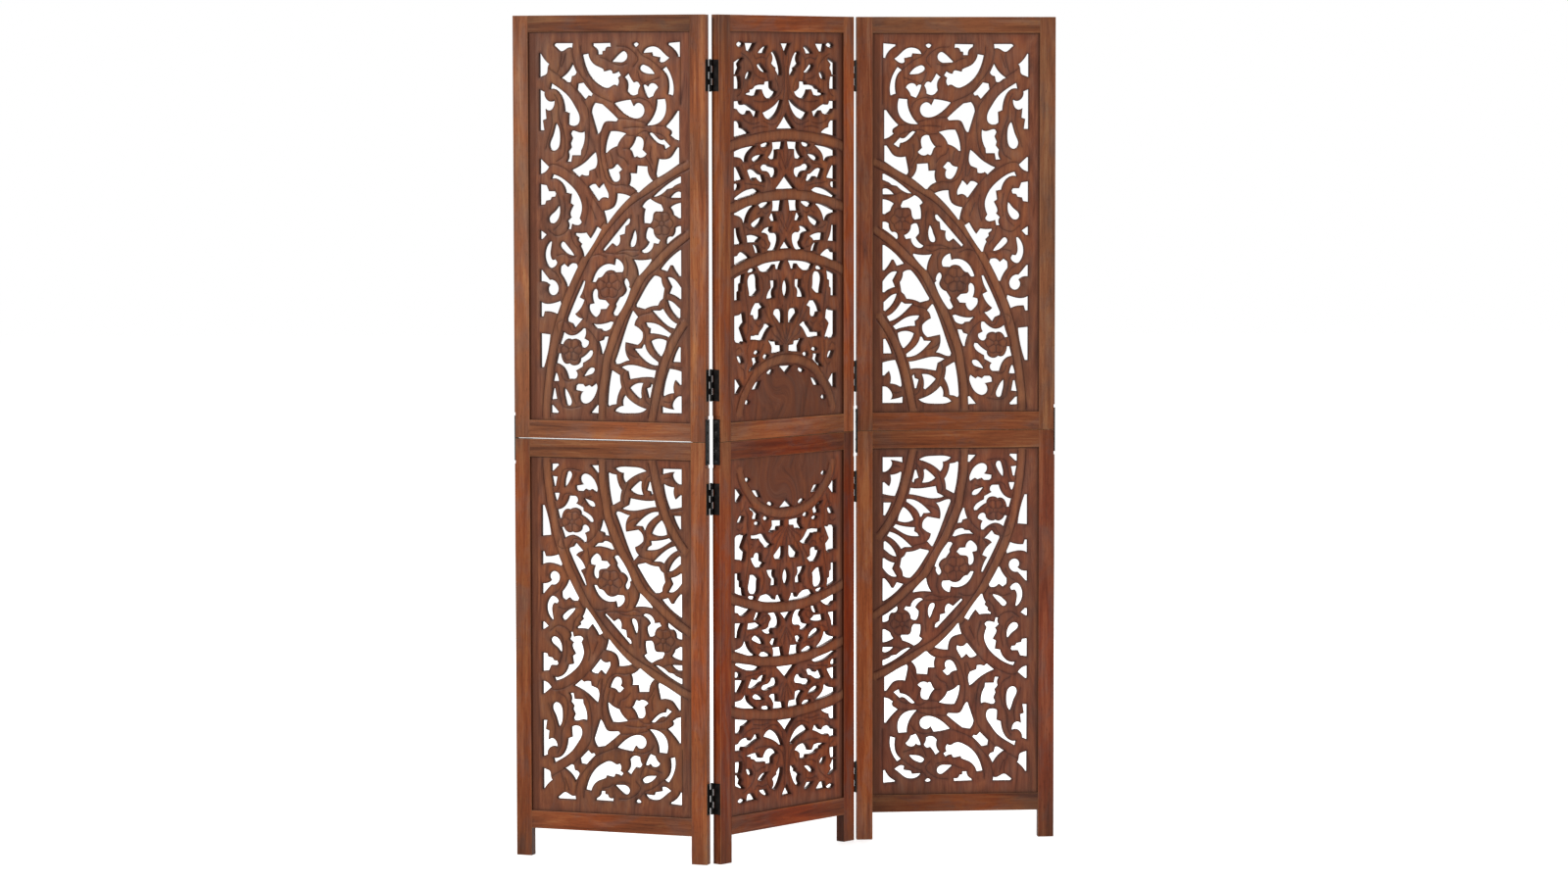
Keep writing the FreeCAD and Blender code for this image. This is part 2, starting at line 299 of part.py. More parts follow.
# Openings of its left half. The right half has them mirrored.
middle_half_opening_shares = (
    (((.027, .989), (.045, .995), (.085, .995)), ((.101, .990), (.085, .985), (.045, .983))),
    (((.104, .994),), ((.213, .994), (.192, .981)), ((.172, .971), (.140, .969)), ((.118, .972),)),
    (((.234, .967), (.265, .979)), ((.320, .987),), ((.326, .982), (.308, .971)), ((.302, .965),),
     ((.238, .965),)),
    (((.357, .966),), ((.368, .971), (.395, .972), (.428, .959), (.452, .938), (.466, .915)),
     ((.462, .904),), ((.425, .904), (.412, .912)), ((.398, .918),), ((.402, .925), (.375, .931)),
     ((.358, .938), (.372, .950))),
    (((0, .941), (.030, .947)), ((.080, .955),), ((.095, .951),), ((.058, .936),), ((.069, .925),),
     ((.050, .913),), ((.045, .906),), ((0, .906),)),
    (((0, .903),), ((.058, .904), (.070, .885)), ((.068, .867),), ((0, .866),)),
    (((.108, .893), (.122, .910)), ((.150, .917),), ((.172, .914), (.160, .900)), ((.145, .895),)),
    (((.322, .912), (.275, .913), (.235, .923), (.222, .933), (.240, .938), (.268, .936), (.300, .924)),),
    (((.104, .853), (.125, .857)), ((.150, .859),), ((.152, .867), (.175, .868)),
     ((.200, .876), (.240, .880)), ((.290, .880),), ((.296, .888), (.335, .890)), ((.368, .889),),
     ((.370, .872), (.390, .865)),
     ((.420, .861), (.395, .847), (.355, .841), (.315, .841), (.288, .850)), ((.270, .865),),
     ((.248, .865),), ((.228, .850),), ((.190, .847), (.145, .849))),
    (((0, .835),), ((.074, .836), (.078, .828)), ((.085, .825), (.140, .825), (.190, .815)),
     ((.243, .807), (.232, .795)), ((.224, .789),), ((.190, .789), (.172, .799)), ((.152, .807),),
     ((.142, .800), (.110, .796), (.070, .798)), ((.030, .811),), ((0, .813),)),
    (((.275, .803), (.330, .811), (.385, .822)), ((.436, .839),),
     ((.474, .838), (.452, .816), (.415, .796)), ((.368, .785), (.320, .784), (.290, .793))),
    (((0, .781),), ((.055, .781), (.076, .772)), ((.080, .762), (.115, .758)), ((.153, .748),),
     ((.152, .745),), ((0, .734),)),
    (((0, .697), (.050, .704), (.110, .709)), ((.205, .714),),
     ((.213, .710), (.170, .698), (.145, .688)), ((.131, .668),),
     ((.090, .665), (.068, .676), (.035, .680)), ((0, .681),)),
    (((.286, .686), (.255, .674), (.230, .669), (.185, .668), (.170, .675), (.195, .684), (.240, .688)),),
    (((.257, .714), (.290, .719)), ((.335, .721),), ((.346, .718), (.330, .711)), ((.310, .708),),
     ((.265, .708),)),
    (((.366, .722),), ((.488, .724), (.482, .710)), ((.474, .701),), ((.418, .700), (.418, .685)),
     ((.412, .675), (.380, .673)), ((.350, .673),), ((.326, .680), (.352, .690)), ((.372, .705),)),
    (((0, .655),), ((.046, .656), (.070, .642)), ((.099, .622),), ((.092, .619),), ((0, .614),)),
    (((0, .609),), ((.045, .612), (.061, .604)), ((.045, .592),), ((0, .590),)),
    (((.125, .645), (.150, .649), (.185, .649), (.225, .643), (.255, .635)), ((.285, .633),),
     ((.304, .615),), ((.295, .611),), ((.262, .610), (.235, .615)), ((.212, .624),), ((.200, .622),),
     ((.190, .617),), ((.162, .616), (.143, .630))),
    (((.254, .652), (.268, .659), (.300, .662)), ((.338, .660),), ((.352, .656), (.385, .653)),
     ((.412, .651), (.423, .640), (.414, .629)), ((.398, .623),), ((.352, .623), (.338, .634)),
     ((.315, .640),), ((.290, .641), (.262, .646))),
    (((0, .570), (.055, .582), (.110, .591), (.160, .595), (.215, .595)),
     ((.252, .586), (.200, .578), (.130, .572)), ((.060, .565),), ((.010, .563),)),
    (((0, .529), (.050, .536), (.110, .545)), ((.200, .550),),
     ((.214, .547), (.170, .534), (.145, .520)), ((.128, .501),),
     ((.087, .500), (.070, .513), (.035, .520)), ((0, .523),)),
    (((.232, .549), (.265, .556), (.310, .558)), ((.352, .558),), ((.352, .552), (.320, .544)),
     ((.300, .540),), ((.252, .540),)),
    (((.366, .561),), ((.478, .562), (.470, .547)), ((.463, .530),), ((.361, .530), (.370, .543))),
    (((.357, .526),), ((.398, .526), (.410, .515)), ((.416, .503),), ((.360, .502),), ((.337, .514),)),
    (((.286, .514), (.265, .499), (.235, .490), (.180, .488), (.163, .496), (.195, .507), (.240, .515)),),
    (((0, .488),), ((.050, .490), (.060, .467)), ((.086, .447),), ((.080, .443),), ((0, .441),)),
    (((.118, .467), (.160, .469)), ((.262, .461),), ((.262, .457), (.242, .452)), ((.228, .446),),
     ((.127, .446),)),
    (((.177, .442),), ((.222, .441), (.246, .431)), ((.256, .417),), ((.204, .416), (.190, .430))),
    (((.262, .474), (.290, .484), (.330, .489)), ((.371, .489),), ((.362, .478),),
     ((.378, .472), (.415, .472)), ((.438, .466), (.443, .455), (.432, .437), (.412, .425)),
     ((.400, .422),), ((.325, .422),), ((.319, .426), (.345, .435)), ((.351, .443), (.330, .455)),
     ((.325, .464), (.300, .470)), ((.265, .471),)),
    (((0, .411),), ((.030, .413), (.045, .420)), ((.090, .423), (.125, .417)), ((.161, .406),),
     ((.160, .403), (.105, .397), (.050, .389)), ((0, .387),)),
    (((.221, .381), (.290, .389), (.370, .393)), ((.478, .395),), ((.478, .390), (.462, .380)),
     ((.452, .368),), ((.401, .370),), ((.393, .383),), ((.372, .373),), ((.340, .365), (.290, .363)),
     ((.245, .367),)),
    (((.132, .367),), ((.155, .374),), ((.196, .376),), ((.206, .370),), ((.190, .366),),
     ((.146, .364),)),
    (((.148, .358),), ((.170, .361),), ((.215, .362), (.236, .350), (.239, .335)),
     ((.246, .315), (.225, .306)), ((.200, .299),), ((.143, .298), (.136, .318), (.127, .340))),
    (((0, .350), (.045, .358)), ((.104, .363), (.094, .347)), ((.092, .337),), ((.074, .333),),
     ((.073, .315),), ((.058, .311),), ((.058, .289),), ((0, .289),)),
    (((.346, .341),), ((.412, .342), (.414, .325)), ((.412, .320), (.396, .314)), ((.396, .293),),
     ((.385, .290),), ((.312, .289),), ((.309, .293), (.325, .308)), ((.352, .320),)),
    (((.203, .281),), ((.268, .281), (.285, .273)), ((.299, .267),), ((.265, .260),),
     ((.266, .245), (.256, .236)), ((.240, .234),), ((.203, .232), (.188, .237)), ((.180, .246),),
     ((.152, .247), (.167, .263))),
    (((.376, .246), (.385, .258)), ((.405, .262),), ((.445, .262), (.472, .256), (.480, .240)),
     ((.479, .220),), ((.437, .221), (.400, .237))),
    (((0, .248),), ((.050, .251), (.095, .256)), ((.106, .248),), ((.114, .228),), ((.092, .220),),
     ((.078, .213), (.100, .194)), ((.124, .173),), ((.110, .171),), ((.090, .175),),
     ((.072, .168), (.035, .172)), ((.012, .174),), ((0, .182),)),
    (((.158, .194), (.185, .191)), ((.210, .195),), ((.232, .192), (.255, .205), (.275, .213)),
     ((.287, .222),), ((.335, .223),), ((.376, .212), (.345, .206), (.318, .193)), ((.290, .177),),
     ((.240, .175), (.200, .178)), ((.154, .177),)),
    (((.326, .175),), ((.340, .176),), ((.372, .177),), ((.378, .172), (.408, .172)), ((.424, .171),),
     ((.430, .161),), ((.474, .160),), ((.476, .142), (.415, .139)), ((.356, .138),), ((.360, .155),),
     ((.350, .162),)),
    (((.190, .143), (.205, .148), (.235, .148)), ((.246, .144), (.230, .140), (.205, .139))),
    (((.022, .137),), ((.070, .137), (.088, .127)), ((.094, .118),), ((.056, .114), (.036, .124))),
    (((.167, .130),), ((.232, .133), (.236, .122)), ((.242, .116), (.210, .105)), ((.175, .094),),
     ((.135, .092),), ((.150, .102), (.178, .114)), ((.170, .121),)),
    (((.278, .130), (.290, .136), (.315, .137)), ((.336, .133), (.320, .127), (.290, .125))),
    (((.315, .086), (.335, .091), (.370, .094)), ((.381, .091), (.365, .084), (.330, .082))),
    (((.003, .074),), ((.045, .073),), ((.083, .053),), ((.045, .034),), ((.003, .030),)),
    (((.168, .041), (.190, .055)), ((.214, .063),), ((.256, .066), (.243, .053)), ((.225, .042),)),
    (((.102, .007), (.115, .013), (.140, .013)), ((.153, .008), (.138, .003), (.115, .002))),
)


def size(alias):
    """A driving dimension as a number."""
    return float(sheet.get(alias))


def bound(text):
    """An expression in the names of the sheet's cells."""
    return re.sub(r"[a-z][a-z_]+", r"sizes.\g<0>", text)


def amount(text):
    """The value of a sum of cell names and whole numbers, such as 'panel_width - 2 * stile_width'."""
    return float(sheet.evalExpression(bound(text)))


def bind(item, **expressions):
    for name, text in expressions.items():
        item.setExpression(name.replace("__", "."), bound(text))


def block(name, across, through, upward):
    """A rectangular block between two expressions along each axis."""
    item = doc.addObject("Part::Box", name)
    lows = [span[0] for span in (across, through, upward)]
    lengths = [f"({span[1]}) - ({span[0]})" for span in (across, through, upward)]
    bind(item, Length=lengths[0], Width=lengths[1], Height=lengths[2])
    bind(item, Placement__Base__x=lows[0], Placement__Base__y=lows[1], Placement__Base__z=lows[2])
    return item


def rod(name, radius, length, x, y, z, direction):
    """A cylinder that starts at x, y, z and runs along a direction."""
    item = doc.addObject("Part::Cylinder", name)
    item.Placement = Placement(Vector(), Rotation(Vector(0, 0, 1), direction))
    bind(item, Radius=radius, Height=length)
    bind(item, Placement__Base__x=x, Placement__Base__y=y, Placement__Base__z=z)
    return item


def cone(name, wide_radius, narrow_radius, length, x, y, z, direction):
    """A countersink that narrows along a direction."""
    item = doc.addObject("Part::Cone", name)
    item.Placement = Placement(Vector(), Rotation(Vector(0, 0, 1), direction))
    bind(item, Radius1=wide_radius, Radius2=narrow_radius, Height=length)
    bind(item, Placement__Base__x=x, Placement__Base__y=y, Placement__Base__z=z)
    return item


def joined(name, items):
    fused = doc.addObject("Part::MultiFuse", name)
    fused.Shapes = items
    return fused


def cut(name, base, tools):
    """The base less all its tools."""
    item = doc.addObject("Part::Cut", name)
    item.Base = base
    item.Tool = joined(f"{name}_tools", tools) if len(tools) > 1 else tools[0]
    return item


def copies(name, form, places):
    """One node that holds like pieces, each a solid of its own."""
    solids = []
    for place in places:
        solid = form.Shape.copy()
        solid.Placement = place.multiply(form.Placement)
        solids.append(solid)
    item = doc.addObject("Part::Feature", name)
    item.Shape = Part.makeCompound(solids)
    return item


# A plate screw stops short of the mortise behind it.
plate_screw_length = (
    "plate_thickness - plate_recess_depth + stile_width"
    " - tenon_length - tenon_clearance - screw_tip_clearance"
)

# Each section of a panel: its stile ends and the two edges of each of its rails, from the floor.
lower_top = "joint_height - section_gap / 2"
upper_bottom = "joint_height + section_gap / 2"
sections = {
    "lower": {
        "ends": ("0", lower_top),
        "bottom_rail": ("foot_height", "foot_height + lower_bottom_rail_height"),
        "top_rail": (f"{lower_top} - lower_top_rail_height", lower_top),
        "hinges": ("hinge_foot_height", "(joint_height - hinge_below_joint)"),
        "plate_recess": (f"{lower_top} - plate_recess_length / 2", f"{lower_top} + overrun"),
        "plate_screws": ("joint_height - plate_near_screw", "joint_height - plate_far_screw"),
    },
    "upper": {
        "ends": (upper_bottom, "screen_height"),
        "bottom_rail": (upper_bottom, f"{upper_bottom} + upper_bottom_rail_height"),
        "top_rail": ("screen_height - upper_top_rail_height", "screen_height"),
        "hinges": ("(joint_height + hinge_above_joint)", "(screen_height - hinge_below_top)"),
        "plate_recess": (f"{upper_bottom} - overrun", f"{upper_bottom} + plate_recess_length / 2"),
        "plate_screws": ("joint_height + plate_near_screw", "joint_height + plate_far_screw"),
    },
}
through_frame = ("0", "frame_thickness")
groove_through = (
    "(frame_thickness - board_thickness) / 2 - groove_clearance",
    "(frame_thickness + board_thickness) / 2 + groove_clearance",
)

# The folds: which faces of the panels the pins stand beside, and which stiles carry the leaves.
folds = {
    "left_fold": {"face": "back", "stiles": (("left_panel", "right"), ("middle_panel", "left"))},
    "right_fold": {"face": "front", "stiles": (("middle_panel", "right"), ("right_panel", "left"))},
}
panels = ("left_panel", "middle_panel", "right_panel")
hinge_heights = [height for section in sections.values() for height in section["hinges"]]
screw_steps = ("-1", "0", "1")


def fold_at(panel, side):
    """The fold that a stile's outer edge carries, or None."""
    for fold, about in folds.items():
        if (panel, side) in about["stiles"]:
            return fold
    return None


def tenon_span(section, rail):
    """The lower and upper edge of a rail's tenons."""
    low, high = section[rail]
    if rail == "bottom_rail":
        return f"{low} + tenon_shoulder", f"{high} - groove_depth - tenon_shoulder"
    return f"{low} + groove_depth + tenon_shoulder", f"{high} - tenon_shoulder"


def hinge_screw_depth(face):
    """How far behind the front face a hinge's screws stand."""
    from_far_face = "(leaf_margin + frame_thickness + pin_stand_off - barrel_radius - leaf_cutout) / 2"
    if face == "back":
        return from_far_face
    return f"frame_thickness - {from_far_face}"


# A stile: an upright with a groove for the board, two mortises, and a shallow recess on its
# outer edge for the joining plate. Its screw holes are pilot holes.
def stile(panel, level, side):
    section = sections[level]
    name = f"{panel}_{level}_{side}_stile"
    left = side == "left"
    if left:
        across = ("0", "stile_width")
        groove_across = ("stile_width - groove_depth", "stile_width + overrun")
        mortise_across = ("stile_width - tenon_length - tenon_clearance", "stile_width + overrun")
        recess_across = ("0 - overrun", "plate_recess_depth")
        edge, inward = "0", Vector(1, 0, 0)
        recess_floor = "plate_recess_depth"
        screw_start = "0 - overrun"
    else:
        inner = "panel_width - stile_width"
        across = (inner, "panel_width")
        groove_across = (f"{inner} - overrun", f"{inner} + groove_depth")
        mortise_across = (f"{inner} - overrun", f"{inner} + tenon_length + tenon_clearance")
        recess_across = ("panel_width - plate_recess_depth", "panel_width + overrun")
        edge, inward = "panel_width", Vector(-1, 0, 0)
        screw_start = "panel_width + overrun"
    blank = block(f"{name}_blank", across, through_frame, section["ends"])
    groove_up = (
        f"{section['bottom_rail'][1]} - groove_depth",
        f"{section['top_rail'][0]} + groove_depth",
    )
    tools = [block(f"{name}_groove", groove_across, groove_through, groove_up)]
    mortise_through = (
        "(frame_thickness - tenon_thickness) / 2 - tenon_clearance",
        "(frame_thickness + tenon_thickness) / 2 + tenon_clearance",
    )
    for rail in ("bottom_rail", "top_rail"):
        low, high = tenon_span(section, rail)
        mortise_up = (f"{low} - tenon_clearance", f"{high} + tenon_clearance")
        tools.append(block(f"{name}_{rail}_mortise", mortise_across, mortise_through, mortise_up))
    recess_through = ("0 - overrun", "frame_thickness + overrun")
    tools.append(block(f"{name}_plate_recess", recess_across, recess_through, section["plate_recess"]))
    for step, height in enumerate(section["plate_screws"]):
        tools.append(rod(
            f"{name}_plate_pilot_{step}", "plate_screw_shank_radius + screw_clearance",
            f"overrun + plate_recess_depth - plate_thickness + {plate_screw_length}",
            screw_start, "frame_thickness / 2", height, inward,
        ))
    fold = fold_at(panel, side)
    if fold:
        depth = hinge_screw_depth(folds[fold]["face"])
        for hinge, height in enumerate(section["hinges"]):
            for step in screw_steps:
                tools.append(rod(
                    f"{name}_hinge_pilot_{hinge}_{step}", "hinge_screw_shank_radius + screw_clearance",
                    "overrun + hinge_screw_length - leaf_thickness",
                    screw_start, depth, f"{height} + {step} * hinge_screw_spacing", inward,
                ))
    return cut(name, blank, tools)


# A rail: a crosspiece with a tenon at each end and a groove in its inner edge for the board.
def rail(panel, level, place):
    section = sections[level]
    name = f"{panel}_{level}_{place}"
    low, high = section[place]
    between = ("stile_width", "panel_width - stile_width")
    bar = block(f"{name}_bar", between, through_frame, (low, high))
    tenon = block(
        f"{name}_tenon",
        ("stile_width - tenon_length", "panel_width - stile_width + tenon_length"),
        ("(frame_thickness - tenon_thickness) / 2", "(frame_thickness + tenon_thickness) / 2"),
        tenon_span(section, place),
    )
    if place == "bottom_rail":
        groove_up = (f"{high} - groove_depth", f"{high} + overrun")
    else:
        groove_up = (f"{low} - overrun", f"{low} + groove_depth")
    groove_across = ("stile_width - overrun", "panel_width - stile_width + overrun")
    groove = block(f"{name}_groove", groove_across, groove_through, groove_up)
    return cut(name, joined(f"{name}_blank", [bar, tenon]), [groove])


def run_curve(points, closed):
    """A straight line between two points, or a smooth curve through more."""
    if len(points) == 2:
        return Part.LineSegment(*points)
    curve = Part.BSplineCurve()
    if closed:
        curve.interpolate(Points=points[:-1], PeriodicFlag=True)
    else:
        curve.interpolate(points)
    return curve


def field_corners(kind, level):
    """The carved field of a board: its two sides, its edge beside the joint and its far edge."""
    section = sections[level]
    if kind == "middle":
        sides = ("stile_width + middle_side_margin", "panel_width - stile_width - middle_side_margin")
    else:
        sides = ("stile_width + side_outer_margin", "panel_width - stile_width - side_inner_margin")
    joint_margin = f"{kind}_{level}_joint_margin"
    far_margin = f"{kind}_{level}_far_margin"
    low, high = section["bottom_rail"][1], section["top_rail"][0]
    if level == "upper":
        heights = (f"{low} + {joint_margin}", f"{high} - {far_margin}")
    else:
        heights = (f"{high} - {joint_margin}", f"{low} + {far_margin}")
    return [amount(text) for text in sides + heights]


def mirrored(opening):
    return tuple(tuple((1 - across, along) for across, along in run) for run in opening)


# A carved board: a thin board sawn through with the openings of its pattern. The lower boards
# have the upper ones' pattern upside down, and the right panel has the left panel's mirrored.
def board(panel, level):
    section = sections[level]
    name = f"{panel}_{level}_carved_board"
    kind = "middle" if panel == "middle_panel" else "side"
    if kind == "middle":
        halves = middle_half_opening_shares
        openings = middle_centre_opening_shares + halves + tuple(mirrored(opening) for opening in halves)
    else:
        openings = side_opening_shares
    near, far, joint, end = field_corners(kind, level)
    if panel == "right_panel":
        near, far = size("panel_width") - near, size("panel_width") - far
    front = amount("(frame_thickness - board_thickness) / 2")

    reach = "groove_depth - board_end_clearance"
    left = amount(f"stile_width - ({reach})")
    right = amount(f"panel_width - stile_width + {reach}")
    bottom = amount(f"{section['bottom_rail'][1]} - ({reach})")
    top = amount(f"{section['top_rail'][0]} + {reach}")
    corners = ((left, bottom), (right, bottom), (right, top), (left, top), (left, bottom))
    wires = [Part.makePolygon([Vector(x, front, z) for x, z in corners])]
    for opening in openings:
        curves = []
        for n, run in enumerate(opening):
            shares = run + (opening[(n + 1) % len(opening)][0],)
            points = [Vector(near + u * (far - near), front, joint + v * (end - joint)) for u, v in shares]
            curves.append(run_curve(points, len(opening) == 1))
        wires.append(Part.Wire([curve.toShape() for curve in curves]))

    outline = doc.addObject("Part::Feature", f"{name}_outline")
    outline.Shape = Part.makeFace(wires, "Part::FaceMakerBullseye")
    item = doc.addObject("Part::Extrusion", name)
    item.Base = outline
    item.DirMode = "Custom"
    item.Dir = Vector(0, 1, 0)
    item.Solid = True
    bind(item, LengthFwd="board_thickness")
    return item


# A joining plate: a flat steel bar let into the outer edges of an upper and a lower stile.
def joining_plate(panel, side):
    name = f"{panel}_{side}_joining_plate"
    if side == "left":
        across = ("plate_recess_depth - plate_thickness", "plate_recess_depth")
    else:
        edge = "panel_width - plate_recess_depth"
        across = (edge, f"{edge} + plate_thickness")
    through = ("(frame_thickness - plate_width) / 2", "(frame_thickness + plate_width) / 2")
    upward = ("joint_height - plate_length / 2", "joint_height + plate_length / 2")
    bar = block(f"{name}_bar", across, through, upward)
    holes = []
    for section in sections.values():
        for height in section["plate_screws"]:
            holes.append(rod(
                f"{name}_hole_{len(holes)}", "plate_screw_shank_radius + screw_clearance",
                "plate_thickness + 2 * overrun", f"{across[0]} - overrun", "frame_thickness / 2", height,
                Vector(1, 0, 0),
            ))
    return cut(name, bar, holes)


# A hinge leaf, about its pin: a thin plate on the stile's edge whose knuckles wrap the pin.
# Beside the other leaf's knuckles the plate is cut back, so that light shows through.
def leaf(name, rows):
    count = 5
    pitch = f"(hinge_length + knuckle_gap) / {count}"
    plate_across = ("0 - pin_setback", "leaf_thickness - pin_setback")
    far_end = "leaf_margin - frame_thickness - pin_stand_off"
    cut_line = "0 - barrel_radius - leaf_cutout"
    solids = [block(
        f"{name}_plate", plate_across, (far_end, cut_line), ("0 - hinge_length / 2", "hinge_length / 2"),
    )]
    for row in rows:
        low = f"0 - hinge_length / 2 + {row} * {pitch}"
        solids.append(block(f"{name}_tongue_{row}", plate_across, (cut_line, "0"),
                            (low, f"{low} + {pitch} - knuckle_gap")))
        solids.append(rod(f"{name}_knuckle_{row}", "barrel_radius", f"{pitch} - knuckle_gap", "0", "0", low,
                          Vector(0, 0, 1)))
    tools = [rod(f"{name}_bore", "pin_radius + pin_clearance", "hinge_length + 2 * overrun", "0", "0",
                 "0 - hinge_length / 2 - overrun", Vector(0, 0, 1))]
    middle = f"({far_end} + ({cut_line})) / 2"
    for step in screw_steps:
        height = f"{step} * hinge_screw_spacing"
        tools.append(cone(f"{name}_countersink_{step}", "hinge_screw_head_radius + screw_clearance",
                          "hinge_screw_shank_radius + screw_clearance", "leaf_thickness",
                          plate_across[1], middle, height, Vector(-1, 0, 0)))
    return cut(name, joined(f"{name}_blank", solids), tools)


# A hinge pin with a small head at each end.
def pin_form():
    name = "hinge_pin_form"
    foot = "0 - hinge_length / 2"
    head = ("pin_head_radius", "pin_head_height", "0", "0")
    shank = rod(f"{name}_shank", "pin_radius", "hinge_length", "0", "0", foot, Vector(0, 0, 1))
    top = rod(f"{name}_top", *head, "hinge_length / 2", Vector(0, 0, 1))
    bottom = rod(f"{name}_bottom", *head, foot, Vector(0, 0, -1))
    return joined(name, [shank, top, bottom])


# A countersunk wood screw whose head is flush with the leaf, pointing along +X.
def hinge_screw_form():
    name = "hinge_screw_form"
    head = cone(f"{name}_head", "hinge_screw_head_radius", "hinge_screw_shank_radius", "leaf_thickness",
                "0", "0", "0", Vector(1, 0, 0))
    shank = rod(f"{name}_shank", "hinge_screw_shank_radius", "hinge_screw_length - leaf_thickness",
                "leaf_thickness", "0", "0", Vector(1, 0, 0))
    return joined(name, [head, shank])


# A round-headed wood screw of a joining plate, pointing along +X with its head behind the origin.
def plate_screw_form():
    name = "plate_screw_form"
    radius, height = size("plate_screw_head_radius"), size("plate_screw_head_height")
    dome_radius = (radius ** 2 + height ** 2) / (2 * height)
    ball = Part.makeSphere(dome_radius, Vector(dome_radius - height, 0, 0))
    half_space = Part.makeBox(height, 2 * radius, 2 * radius, Vector(-height, -radius, -radius))
    head = doc.addObject("Part::Feature", f"{name}_head")
    head.Shape = ball.common(half_space)
    shank = rod(
        f"{name}_shank", "plate_screw_shank_radius", plate_screw_length, "0", "0", "0", Vector(1, 0, 0)
    )
    return joined(name, [head, shank])


def turned(angle):
    return Placement(Vector(), Rotation(Vector(0, 0, 1), angle))


def moved(x, y, z):
    return Placement(Vector(x, y, z), Rotation())


def pin_place(panel, fold):
    """Where a fold's pins stand, in a panel's own frame."""
    side = dict(folds[fold]["stiles"])[panel]
    x = -size("pin_setback") if side == "left" else size("panel_width") + size("pin_setback")
    y = -size("pin_stand_off")
    if folds[fold]["face"] == "back":
        y = size("frame_thickness") + size("pin_stand_off")
    return Vector(x, y, 0)


# Where each panel stands at rest: the middle panel first, the others hinged to it.
poses = {"middle_panel": turned(size("middle_panel_turn"))}
for fold, panel in (("left_fold", "left_panel"), ("right_fold", "right_panel")):
    turn = turned(size(f"{panel}_turn"))
    pin = poses["middle_panel"].multVec(pin_place("middle_panel", fold))
    start = pin - turn.multVec(pin_place(panel, fold))
    poses[panel] = Placement(start, turn.Rotation)

nodes = {}


def keep(item, panel, place=None):
    """Labels a sub-part and puts it where its panel stands."""
    item.Placement = poses[panel].multiply(place) if place else poses[panel]
    nodes[item.Name] = item


for panel in panels:
    for level in sections:
        for side in ("left", "right"):
            keep(stile(panel, level, side), panel)
        for place in ("bottom_rail", "top_rail"):
            keep(rail(panel, level, place), panel)
        keep(board(panel, level), panel)
    for side in ("left", "right"):
        keep(joining_plate(panel, side), panel)

# The middle panel's leaves have the three outer knuckles, the others' leaves the two between.
half_turn_about_y = Placement(Vector(), Rotation(Vector(0, 1, 0), 180))
half_turn_about_x = Placement(Vector(), Rotation(Vector(1, 0, 0), 180))
leaf_places = {panel: [] for panel in panels}
pin_places = {fold: [] for fold in folds}
for fold, about in folds.items():
    for panel, side in about["stiles"]:
        rows = (0, 2, 4) if panel == "middle_panel" else (1, 3)
        for number, height in enumerate(hinge_heights, start=1):
            place = Placement(pin_place(panel, fold) + Vector(0, 0, amount(height)), Rotation())
            if panel == "middle_panel":
                pin_places[fold].append(place)
            if side == "left":
                place = place.multiply(half_turn_about_y)
            if about["face"] == "front":
                place = place.multiply(half_turn_about_x)
            short = panel.replace("_panel", "")
            keep(leaf(f"{fold}_hinge_{number}_{short}_leaf", rows), panel, place)
            leaf_places[panel].append(place)

pin = pin_form()
hinge_screw = hinge_screw_form()
plate_screw = plate_screw_form()
doc.recompute()

for fold in folds:
    keep(copies(f"{fold}_hinge_pins", pin, pin_places[fold]), "middle_panel")

plate_surface = size("plate_recess_depth") - size("plate_thickness")
screw_depth = -(size("frame_thickness") + size("pin_stand_off") - size("leaf_margin")
                + size("barrel_radius") + size("leaf_cutout")) / 2
screw_start = size("leaf_thickness") - size("pin_setback")
facing_wood = Placement(Vector(), Rotation(Vector(0, 0, 1), 180))
for panel in panels:
    places = []
    for leaf_place in leaf_places[panel]:
        for step in screw_steps:
            height = float(step) * size("hinge_screw_spacing")
            head = moved(screw_start, screw_depth, height).multiply(facing_wood)
            places.append(leaf_place.multiply(head))
    keep(copies(f"{panel}_hinge_screws", hinge_screw, places), panel)

    places = []
    for section in sections.values():
        for text in section["plate_screws"]:
            middle = size("frame_thickness") / 2
            places.append(moved(plate_surface, middle, amount(text)))
            far_edge = moved(size("panel_width") - plate_surface, middle, amount(text))
            places.append(far_edge.multiply(facing_wood))
    keep(copies(f"{panel}_plate_screws", plate_screw, places), panel)

doc.recompute()

# The origin is under the middle of the whole screen's box, on the floor.
box = FreeCAD.BoundBox()
for item in nodes.values():
    box.add(item.Shape.BoundBox)
shift = moved(-(box.XMin + box.XMax) / 2, -(box.YMin + box.YMax) / 2, -box.ZMin)
for item in nodes.values():
    item.Placement = shift.multiply(item.Placement)

for item in doc.Objects:
    if "Invalid" in item.State or "Error" in item.State:
        raise RuntimeError(f"{item.Name} failed: {item.State}")
for name, item in nodes.items():
    item.Label = name
    if item.Shape.isNull() or not item.Shape.isValid():
        raise RuntimeError(f"{name} has no valid shape")
for name, item in nodes.items():
    item.Shape.exportStep(f"parts/{name}.step")

for fold in folds:
    at = shift.multVec(poses["middle_panel"].multVec(pin_place("middle_panel", fold)))
    print(f"{fold} pins stand at x {at.x:.3f}, y {at.y:.3f}")
print(f"{len(nodes)} sub-parts in a box of {box.XLength:.2f} x {box.YLength:.2f} x {box.ZLength:.2f}")
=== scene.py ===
import json
import math

import bmesh
import bpy
from mathutils import Matrix, Vector
from mathutils.bvhtree import BVHTree
from mathutils.geometry import delaunay_2d_cdt
from mathutils.kdtree import KDTree


